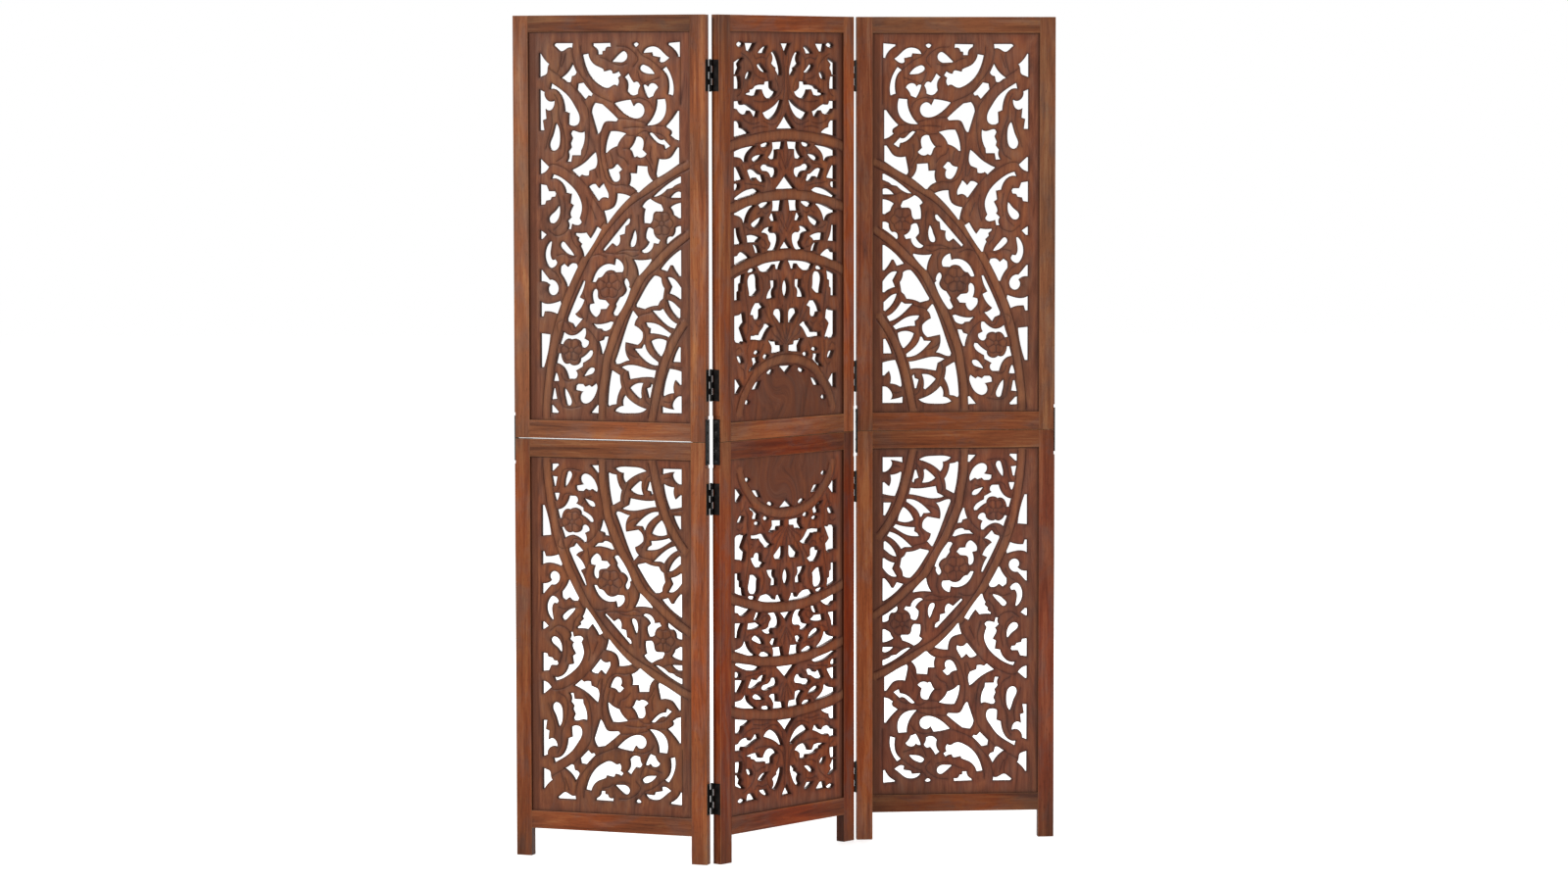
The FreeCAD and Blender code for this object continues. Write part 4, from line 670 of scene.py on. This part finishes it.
# Each blossom's place as shares, and its radius.
side_flower_shares = ((.22, .165, .022), (.49, .342, .026), (.864, .509, .024))
side_vein_shares = (
    ((.235, .985), (.24, .96), (.262, .93), (.30, .905), (.34, .885), (.375, .864), (.42, .851),
     (.47, .842), (.53, .832)),
    ((.295, .985), (.30, .955), (.315, .93), (.34, .905)),
    ((.15, .985), (.16, .955), (.145, .93), (.13, .912)),
    ((.19, .965), (.175, .945), (.16, .93)),
    ((.06, .928), (.10, .917), (.15, .904), (.22, .885), (.27, .862), (.31, .84), (.345, .815),
     (.355, .78), (.352, .74),
     (.335, .70), (.30, .675)),
    ((.435, .955), (.475, .950), (.52, .940), (.57, .934), (.62, .938)),
    ((.55, .985), (.62, .982), (.68, .965), (.70, .948), (.67, .93)),
    ((.70, .975), (.73, .96), (.78, .95), (.83, .935), (.87, .92)),
    ((.62, .845), (.66, .843), (.71, .846), (.775, .836), (.80, .82)),
    ((.70, .915), (.715, .895), (.74, .885), (.80, .893), (.85, .90)),
    ((.56, .791), (.62, .790), (.70, .785), (.76, .778), (.83, .772), (.89, .770)),
    ((.47, .777), (.44, .755), (.43, .72), (.437, .68), (.455, .65), (.48, .625), (.53, .612),
     (.60, .612), (.68, .598)),
    ((.625, .746), (.68, .745), (.74, .757), (.80, .752), (.86, .748), (.90, .735)),
    ((.60, .765), (.68, .768), (.74, .766)),
    ((.465, .70), (.473, .68), (.485, .66)),
    ((.50, .70), (.515, .685), (.52, .67)),
    ((.55, .705), (.565, .69), (.60, .683), (.63, .668)),
    ((.60, .71), (.625, .711), (.65, .705)),
    ((.76, .74), (.745, .715), (.75, .69), (.78, .67), (.80, .65)),
    ((.79, .715), (.785, .69), (.80, .67)),
    ((1.0, .96), (1.001, .90), (1.0, .83)),
    ((.11, .855), (.135, .83), (.14, .79), (.17, .76), (.185, .72), (.17, .69), (.12, .675)),
    ((.085, .81), (.09, .775), (.065, .74), (.045, .71)),
    ((.15, .71), (.155, .74), (.16, .77)),
    ((.055, .662), (.09, .667), (.13, .665), (.18, .656), (.23, .643), (.28, .632), (.325, .613),
     (.36, .59), (.40, .565),
     (.435, .545), (.45, .525)),
    ((.335, .575), (.345, .55), (.335, .525), (.322, .505)),
    ((.365, .555), (.385, .535), (.40, .52)),
    ((.41, .69), (.425, .66), (.43, .63)),
    ((.385, .665), (.40, .645), (.415, .63)),
    ((.105, .60), (.135, .575), (.15, .54), (.145, .51), (.10, .49)),
    ((.17, .58), (.18, .55), (.175, .52)),
    ((.22, .485), (.235, .46), (.27, .44)),
    ((.06, .49), (.11, .475), (.16, .478), (.20, .49)),
    ((.12, .42), (.17, .425), (.22, .415), (.26, .42)),
    ((.085, .38), (.12, .37), (.15, .345)),
    ((.04, .325), (.08, .312), (.13, .318)),
    ((.45, .43), (.53, .428), (.60, .437), (.70, .437)),
    ((.52, .425), (.60, .428), (.66, .42), (.70, .425)),
    ((.34, .405), (.37, .42), (.42, .425), (.47, .418)),
    ((.61, .415), (.625, .395), (.62, .37)),
    ((.70, .53), (.705, .50), (.70, .47), (.705, .45)),
    ((.65, .53), (.645, .505)),
    ((.83, .59), (.88, .583), (.94, .575), (.99, .574)),
    ((.90, .61), (.95, .60), (.99, .603)),
    ((.30, .325), (.325, .30), (.34, .27), (.33, .245)),
    ((.25, .275), (.28, .265), (.31, .25)),
    ((.33, .225), (.37, .21), (.40, .19), (.412, .165)),
    ((.42, .235), (.46, .225), (.50, .227)),
    ((.13, .215), (.12, .235), (.16, .245), (.20, .235), (.23, .215), (.28, .218)),
    ((.105, .078), (.13, .062), (.14, .035), (.16, .012), (.22, .008), (.28, .012)),
    ((.15, .10), (.165, .085), (.20, .08), (.235, .085)),
    ((.27, .135), (.285, .115), (.32, .095), (.36, .088)),
    ((.22, .05), (.235, .035), (.25, .02)),
    ((.66, .25), (.71, .262), (.76, .268), (.82, .272), (.88, .268)),
    ((.72, .235), (.745, .21), (.74, .19)),
    ((.60, .17), (.64, .155), (.70, .148), (.78, .152)),
    ((.54, .125), (.60, .12), (.585, .095), (.60, .07), (.62, .045)),
    ((.66, .08), (.72, .075), (.735, .05), (.75, .03), (.78, .02)),
    ((.90, .33), (.89, .30), (.895, .275), (.92, .25)),
    ((.93, .125), (.97, .122), (1.0, .12)),
    ((.88, .03), (.92, .028), (.95, .045)),
)
# The middle panel's lines are those of its left half. The right half mirrors them.
middle_strap_shares = (
    ((-.06, .706), (0, .7155), (.15, .727), (.30, .736), (.5, .741)),
    ((-.06, .538), (0, .546), (.10, .556), (.20, .565), (.30, .571), (.5, .5765)),
    ((-.06, .360), (0, .372), (.08, .383), (.16, .391), (.25, .400), (.37, .408), (.5, .4105)),
    ((.045, -.02), (.06, 0), (.085, .022), (.125, .045), (.20, .081), (.26, .098), (.33, .110),
     (.42, .119), (.5, .121)),
)
middle_vein_shares = (
    ((.47, .985), (.478, .94), (.475, .89), (.455, .86), (.40, .842), (.33, .835), (.26, .832),
     (.19, .835)),
    ((.487, .93), (.485, .87), (.47, .83), (.455, .80), (.41, .775), (.35, .77), (.28, .78)),
    ((.34, .965), (.31, .945), (.31, .915), (.33, .895)),
    ((.19, .96), (.21, .95), (.26, .955), (.31, .95)),
    ((.07, .965), (.12, .955), (.17, .935), (.19, .905), (.17, .885)),
    ((.21, .905), (.25, .897), (.29, .895)),
    ((.09, .90), (.085, .875), (.06, .855), (.03, .848)),
    ((.40, .895), (.42, .88), (.43, .865)),
    ((.05, .805), (.10, .782), (.17, .772), (.24, .775)),
    ((.18, .76), (.25, .765), (.32, .762)),
    ((.18, .70), (.21, .715), (.24, .705)),
    ((.25, .70), (.29, .695), (.32, .705)),
    ((.15, .655), (.19, .66), (.24, .663), (.28, .675), (.33, .665)),
    ((.07, .66), (.09, .64), (.105, .62)),
    ((.10, .61), (.15, .607), (.22, .605), (.29, .60)),
    ((.35, .61), (.33, .62), (.30, .625)),
    ((.5, .645), (.47, .668), (.44, .69)),
    ((.5, .65), (.485, .675), (.475, .70)),
    ((.455, .645), (.43, .662)),
    ((.42, .73), (.44, .71)),
    ((.5, .475), (.465, .495), (.43, .515)),
    ((.5, .485), (.478, .51), (.462, .535)),
    ((.46, .47), (.435, .485)),
    ((.44, .56), (.45, .535), (.44, .51)),
    ((.27, .53), (.30, .525), (.33, .53)),
    ((.22, .525), (.25, .53), (.28, .545)),
    ((.11, .49), (.15, .482), (.20, .483), (.24, .485)),
    ((.07, .505), (.09, .485), (.105, .46), (.10, .44)),
    ((.26, .455), (.29, .45), (.31, .438)),
    ((.235, .445), (.27, .432), (.30, .43)),
    ((.24, .36), (.27, .34), (.28, .31), (.26, .29)),
    ((.42, .36), (.44, .33), (.43, .30), (.44, .275)),
    ((.30, .36), (.335, .35), (.33, .33)),
    ((.10, .34), (.105, .31), (.12, .28), (.13, .25), (.13, .21), (.11, .18)),
    ((.5, .17), (.47, .20), (.46, .235), (.465, .27)),
    ((.49, .165), (.44, .19), (.40, .215), (.355, .245), (.33, .275)),
    ((.48, .162), (.42, .18), (.37, .195), (.33, .235), (.29, .26)),
    ((.5, .19), (.495, .22), (.5, .27)),
    ((.29, .215), (.26, .235), (.25, .255)),
    ((.20, .225), (.235, .215), (.265, .222)),
    ((.15, .22), (.17, .21), (.15, .205)),
    ((.28, .165), (.26, .15), (.24, .13), (.25, .115)),
    ((.13, .165), (.12, .145), (.125, .12), (.10, .10)),
    ((.07, .15), (.05, .16), (.02, .155)),
    ((.06, .105), (.09, .095), (.10, .075)),
)
# Each field's left side, its width, its edge at the joint and its height away from that.
fields = {
    ("side", "upper"): (0.054, 0.294, 0.8804, 0.7206),
    ("side", "lower"): (0.054, 0.294, 0.7716, -0.6616),
    ("middle", "upper"): (0.048, 0.304, 0.8924, 0.7086),
    ("middle", "lower"): (0.048, 0.304, 0.7516, -0.6416),
}


def on_board(field, share, flipped):
    left, width, start, height = field
    across = left + width * share[0]
    if flipped:
        across = panel_width - across
    return Vector((across, start + height * share[1]))


strap_half = {"side": 0.008, "middle": 0.0095}
line_spacing = 0.002
vein_spacing = 0.0022
petals = 6
petal_start_share = 0.24
petal_end_share = 0.8
scallop_share = 0.20
scallop_steps = 90
heart_share = 0.22
heart_steps = 16


def mirrored_shares(line):
    return tuple((1 - across, up) for across, up in line)


def way_at(share):
    """The way that is this share of a full turn round."""
    return Vector((math.cos(share * math.tau), math.sin(share * math.tau)))


def blossom_lines(centre, radius):
    """A blossom's scalloped rim, the cuts between its petals and the ring round its heart."""
    scallops = []
    for step in range(scallop_steps):
        share = step / scallop_steps
        reach = radius * (1 - scallop_share + scallop_share * abs(math.cos(share * math.tau * petals / 2)))
        scallops.append(centre + way_at(share) * reach)
    lines = [scallops]
    for petal in range(petals):
        way = way_at((petal + 0.5) / petals)
        start = centre + way * radius * petal_start_share
        end = centre + way * radius * petal_end_share
        lines.append(split_run(start, end, line_spacing))
    heart = [centre + way_at(step / heart_steps) * radius * heart_share for step in range(heart_steps)]
    return lines + [heart]


def carved_lines(kind, field, flipped):
    """The middles of a board's stems, and the lines that are cut into its wood."""
    if kind == "side":
        strap_lines, vein_lines = side_strap_shares, side_vein_shares
    else:
        strap_lines = tuple(line + mirrored_shares(line)[-2::-1] for line in middle_strap_shares)
        vein_lines = middle_vein_shares + tuple(mirrored_shares(line) for line in middle_vein_shares)
    straps, veins = [], []
    for shares in strap_lines:
        line = smooth_curve([on_board(field, share, flipped) for share in shares], line_spacing)
        straps.extend(line)
        for side in (-1, 1):
            border = []
            for before, at, after in zip(line, line[1:], line[2:]):
                along = (after - before).normalized()
                border.append(at + Vector((-along.y, along.x)) * side * strap_half[kind])
            veins.append(border)
    for shares in vein_lines:
        veins.append(smooth_curve([on_board(field, share, flipped) for share in shares], vein_spacing))
    if kind == "side":
        for across, up, radius in side_flower_shares:
            veins.extend(blossom_lines(on_board(field, (across, up), flipped), radius))
    return straps, veins


clear_way = 0.1
rim_row_share = 0.86
vein_clearance = 0.0022
side_row = 0.0013
side_row_clearance = 0.0011
side_row_rim_clearance = 0.0036
grid_row_share = 0.866
grid_clear_share = 0.66


def rim_row_points(points, inwards, rim, in_wood):
    """Rows of points in the wood along the rims of the openings."""
    found = []
    for row in rim_rows:
        for point, inward in zip(points, inwards):
            if inward.length < clear_way:
                continue
            moved = point + inward.normalized() * row
            if distance_to(rim, moved) > row * rim_row_share and in_wood(moved):
                found.append(moved)
    return found


def vein_side_points(veins, vein_tree, rim, in_wood):
    """A row of points on either side of each cut line."""
    found = []
    for line in veins:
        for before, at, after in zip([line[0]] + line, line, line[1:] + [line[-1]]):
            along = after - before
            if along.length < tiny_length:
                continue
            across = Vector((-along.y, along.x)).normalized()
            for side in (-1, 1):
                moved = at + across * side * side_row
                if distance_to(vein_tree, moved) <= side_row_clearance:
                    continue
                if distance_to(rim, moved) > side_row_rim_clearance and in_wood(moved):
                    found.append(moved)
    return found


def grid_points(points, taken, in_wood):
    """A grid of points in the wood that the other points leave free."""
    found = []
    low_x, high_x = min(point.x for point in points), max(point.x for point in points)
    low_z, high_z = min(point.y for point in points), max(point.y for point in points)
    rows = int((high_z - low_z) / (grid_spacing * grid_row_share))
    columns = int((high_x - low_x) / grid_spacing)
    for row in range(1, rows):
        for column in range(1, columns):
            at = Vector((
                low_x + (column + 0.5 * (row % 2)) * grid_spacing,
                low_z + row * grid_spacing * grid_row_share,
            ))
            if distance_to(taken, at) > grid_spacing * grid_clear_share and in_wood(at):
                found.append(at)
    return found


# How the wood rises and falls: rounded off at the rims and the cuts, and swelling over the stems.
face_rise = 0.0007
rim_drops = {"side": (0.0014, 0.0014), "middle": (0.0012, 0.0007)}
rim_reach = 0.0030
broad_reach = 0.0100
thin_rim_drop = 0.0015
vein_depth = 0.0013
vein_reach = 0.0042
strap_rise = 0.0015
strap_slope_share = 0.7
flat_back_share = 0.6
flat_back_rise = 0.0005
# How far the wider openings close in at the face.
rim_insets = {
    ("side", "upper"): 0.0,
    ("side", "lower"): 0.0004,
    ("middle", "upper"): 0.0012,
    ("middle", "lower"): 0.0012,
}
inset_reach = 0.0045
narrow_opening = 0.009
wide_opening = 0.017
# How the stain and the painted light lie on the carving. The stain is deepest at rims and cuts.
# Painted shade lies beside the cuts, the stems and the frame, and a painted highlight, with wear,
# lies on what stands out.
rim_stain = 0.90
rim_stain_reach = 0.0024
broad_stain = 0.28
vein_stain = 0.8
vein_stain_reach = 0.0012
vein_shade = {"lower": 0.50, "upper": 0.38}
vein_shade_reach = 0.0034
strap_shade_reach = 0.006
# Painted shade where the board meets the frame, with stain gathered there.
frame_shade_and_stain = 0.60
frame_shade_and_stain_reach = 0.0045
disc_stain = 0.50
disc_half_shares = (0.44, 0.112)
disc_tint = Vector((0.98, 0.70, 0.66))
# Painted shade, darker and plum, over the board's border near the frame, with stain gathered there.
border_shade_tint = Vector((0.84, 0.76, 0.92))
border_shade_tint_share = 0.9
border_shade_depth = 0.10
border_shade_reach = 0.021
# How wide the painted shadow of a stile lies on the board beside it.
stile_shadow_widths = {"side": 0.0155, "middle": 0.0075}
# Painted highlight, with wear, on the stems' crowns and on faces away from rims and cuts.
strap_highlight_and_wear = 0.5
face_highlight_and_wear = 0.25
face_highlight_rim = 0.008
face_highlight_vein = 0.004
board_tones = {
    "left_panel_lower": (0.01, "plain"),
    "left_panel_upper": (0.06, "tan"),
    "middle_panel_lower": (0.22, "brick"),
    "middle_panel_upper": (0.17, "orange"),
    "right_panel_lower": (-0.04, "rose"),
    "right_panel_upper": (0.02, "dusk"),
}
# The middle boards' grain swirls round a knot beside the joint.
swirl_shares = (0.44, 0.045)
swirl_turn = 1.9
swirl_reach = 0.045
board_log_steps = (0.43, 0.29, 1.3)


def carved_board(panel, level, number):
    """A board carved on both faces: its points, how far each rises, and how each is stained, with painted
    shade and highlight.
    """
    kind = "middle" if panel == "middle_panel" else "side"
    flipped = panel == "right_panel"
    field = fields[kind, level]
    node = f"{panel}_{level}_carved_board"
    outline = copied_shape(node, panel)
    points, inwards, edges, widths = board_outline(outline)
    wood = BVHTree.FromBMesh(outline)
    field_low = min(point.y for point in points) + groove_depth
    field_high = max(point.y for point in points) - groove_depth

    def in_wood(point):
        before = Vector((point.x, probe_start, point.y))
        return wood.ray_cast(before, Vector((0, 1, 0)), probe_reach)[0] is not None

    rim = nearest_of(points)
    straps, veins = carved_lines(kind, field, flipped)
    strap_tree = nearest_of(straps)
    vein_points = []
    for line in veins:
        for at in line:
            in_field = inner_edge < at.x < panel_width - inner_edge
            if in_field and in_wood(at) and distance_to(rim, at) >= vein_clearance:
                vein_points.append(at)
    vein_tree = nearest_of(vein_points)
    extra = rim_row_points(points, inwards, rim, in_wood)
    extra += vein_points + vein_side_points(veins, vein_tree, rim, in_wood)
    extra += grid_points(points, nearest_of(extra + points), in_wood)
    verts, _, faces = delaunay_2d_cdt(points + extra, edges, [], 0, tiny_length, False)[:3]

    shape = bmesh.new()
    grain_layer = shape.verts.layers.float_vector.new("grain")
    tint_layer = shape.verts.layers.float_vector.new("tint")
    stain_and_shade_layer = shape.verts.layers.float.new("stain_and_shade")
    tone_layer = shape.verts.layers.float.new("tone")
    lit_and_worn_layer = shape.verts.layers.float.new("lit_and_worn")
    stile_shadow_layer = shape.verts.layers.float.new("stile_shadow")
    made = [shape.verts.new((at.x, board_front, at.y)) for at in verts]
    for face in faces:
        corners = [verts[index] for index in face]
        if in_wood((corners[0] + corners[1] + corners[2]) / 3):
            shape.faces.new([made[index] for index in face])
    loose = [vert for vert in shape.verts if not vert.link_faces]
    bmesh.ops.delete(shape, geom=loose, context="VERTS")

    tone, tint = board_tones[f"{panel}_{level}"]
    edge_drop, broad_drop = rim_drops[kind]
    half = strap_half[kind]
    heights, moves, flatness = {}, {}, {}
    for vert in shape.verts:
        at = Vector((vert.co.x, vert.co.z))
        to_rim = distance_to(rim, at)
        to_vein = distance_to(vein_tree, at)
        to_strap = distance_to(strap_tree, at)
        to_frame = max(0, min(
            at.x - inner_edge, panel_width - inner_edge - at.x, at.y - field_low, field_high - at.y,
        ))
        nearest_rim = rim.find((at.x, at.y, 0))[1]
        inward = inwards[nearest_rim]
        opened = min(1, max(0, (widths[nearest_rim] - narrow_opening) / (wide_opening - narrow_opening)))
        thinned = (1 - opened) * thin_rim_drop if kind == "middle" else 0
        rise = face_rise
        rise -= (edge_drop + thinned) * (1 - rounded(to_rim, rim_reach + thinned))
        rise -= broad_drop * (1 - rounded(to_rim, broad_reach))
        rise -= vein_depth * (1 - rounded(to_vein, vein_reach))
        if to_strap < half:
            rise += strap_rise * rounded(half - to_strap, strap_slope_share * half)
        heights[vert] = rise
        in_field = inner_edge < at.x < panel_width - inner_edge
        if in_field and inward.length > clear_way and to_rim < inset_reach:
            inset = rim_insets[kind, level] * opened * (1 - to_rim / inset_reach)
            moves[vert] = -inward.normalized() * inset
            flatness[vert] = opened

        across = (at.x - field[0]) / field[1]
        up = (at.y - field[2]) / field[3]
        in_disc = kind == "middle" and (
            ((across - 0.5) / disc_half_shares[0]) ** 2 + (up / disc_half_shares[1]) ** 2 < 1
        )
        # Stain at rims and cuts, and painted shade beside the cuts, along the stems and next to the frame.
        stains_and_shades = [
            rim_stain * math.exp(-(to_rim / rim_stain_reach) ** 1.5),
            broad_stain * (1 - rounded(to_rim, broad_reach)),
            vein_stain * math.exp(-to_vein / vein_stain_reach),
            vein_shade[level] * math.exp(-to_vein / vein_shade_reach),
            frame_shade_and_stain * math.exp(-(to_frame / frame_shade_and_stain_reach) ** 2),
        ]
        if in_disc:
            stains_and_shades.append(disc_stain)
        if to_strap > half:
            stains_and_shades.append(vein_shade[level] * math.exp(-((to_strap - half) / strap_shade_reach) ** 2))
        vert[stain_and_shade_layer] = max(stains_and_shades)
        # Painted shade near the frame, with stain gathered there.
        at_shaded_border = math.exp(-(to_frame / border_shade_reach) ** 2)
        vert[tone_layer] = tone - border_shade_depth * at_shaded_border
        vert[tint_layer] = Vector(stain_tints[tint]).lerp(border_shade_tint, border_shade_tint_share * at_shaded_border)
        if in_disc:
            vert[tint_layer] = disc_tint
        # The painted shadow falls from the left stile, and from the right stile on the middle panel; this is
        # its share of the band.
        to_shade = panel_width - inner_edge - at.x if kind == "middle" else at.x - inner_edge
        vert[stile_shadow_layer] = 1 - to_shade / stile_shadow_widths[kind]
        # Painted highlight, with wear, on the stems and the faces that stand out.
        vert[lit_and_worn_layer] = (
            strap_highlight_and_wear * rounded(max(half - to_strap, 0), half)
            + face_highlight_and_wear * min(1, to_rim / face_highlight_rim, to_vein / face_highlight_vein)
        )

    grown = bmesh.ops.extrude_face_region(shape, geom=shape.faces[:], use_keep_orig=True)
    above = {(round(vert.co.x, 6), round(vert.co.z, 6)): vert for vert in heights}
    for vert in grown["geom"]:
        if not isinstance(vert, bmesh.types.BMVert):
            continue
        front_vert = above[round(vert.co.x, 6), round(vert.co.z, 6)]
        flat = flat_back_share * flatness.get(front_vert, 1) if kind == "middle" else 0
        vert.co.y = board_back + (1 - flat) * heights[front_vert] + flat_back_rise * flat
        move = moves.get(front_vert, Vector((0, 0)))
        vert.co += Vector((move.x, 0, move.y))
    for vert, rise in heights.items():
        vert.co.y = board_front - rise
        move = moves.get(vert, Vector((0, 0)))
        vert.co += Vector((move.x, 0, move.y))
    bmesh.ops.recalc_face_normals(shape, faces=shape.faces[:])

    swirl = Vector((*on_board(field, swirl_shares, flipped), 0)).xzy
    cut_from = Vector([step * number for step in board_log_steps])
    for vert in shape.verts:
        place = vert.co.copy()
        if kind == "middle":
            from_swirl = place - swirl
            turn = swirl_turn * math.exp(-(from_swirl.length / swirl_reach) ** 2)
            place = swirl + Matrix.Rotation(turn, 3, "Y") @ from_swirl
        vert[grain_layer] = place + cut_from
    for face in shape.faces:
        face.smooth = True
    piece = finished_piece(f"{node}_relief", shape, panel, node, carved_wood)
    piece.data.set_sharp_from_angle(angle=crease_angle)


board_number = 0
for panel in panel_places:
    for level in ("lower", "upper"):
        board_number += 1
        carved_board(panel, level, board_number)

# The black iron fittings. Joining plates let into the outer edges tie the lower frames to the
# upper ones, and butt hinges with fixed pins and small screws let the panels fold.
black_iron, nodes, links = new_material("black_iron")
place = nodes.new("ShaderNodeTexCoord").outputs["Object"]
speckle = stretched_noise(nodes, links, place, (900, 900, 900), 3)
cloud = stretched_noise(nodes, links, place, (90, 90, 90), 3)
shader = nodes.new("ShaderNodeBsdfPrincipled")
colour = ramp(nodes, links, cloud, ((0.35, srgb("151313")), (0.7, srgb("2c2826"))))
links.new(colour, shader.inputs["Base Color"])
shader.inputs["Metallic"].default_value = 0.7
links.new(math_node(nodes, links, "MULTIPLY_ADD", cloud, 0.3, 0.28), shader.inputs["Roughness"])
bump = nodes.new("ShaderNodeBump")
bump.inputs["Strength"].default_value = 0.2
bump.inputs["Distance"].default_value = 0.0002
links.new(speckle, bump.inputs["Height"])
links.new(bump.outputs["Normal"], shader.inputs["Normal"])
surface = nodes.new("ShaderNodeOutputMaterial")
links.new(shader.outputs[0], surface.inputs["Surface"])
for name, node in frame["nodes"].items():
    if name.endswith(("_plate", "_screws", "_leaf", "_pins")):
        node.data.materials.clear()
        node.data.materials.append(black_iron)
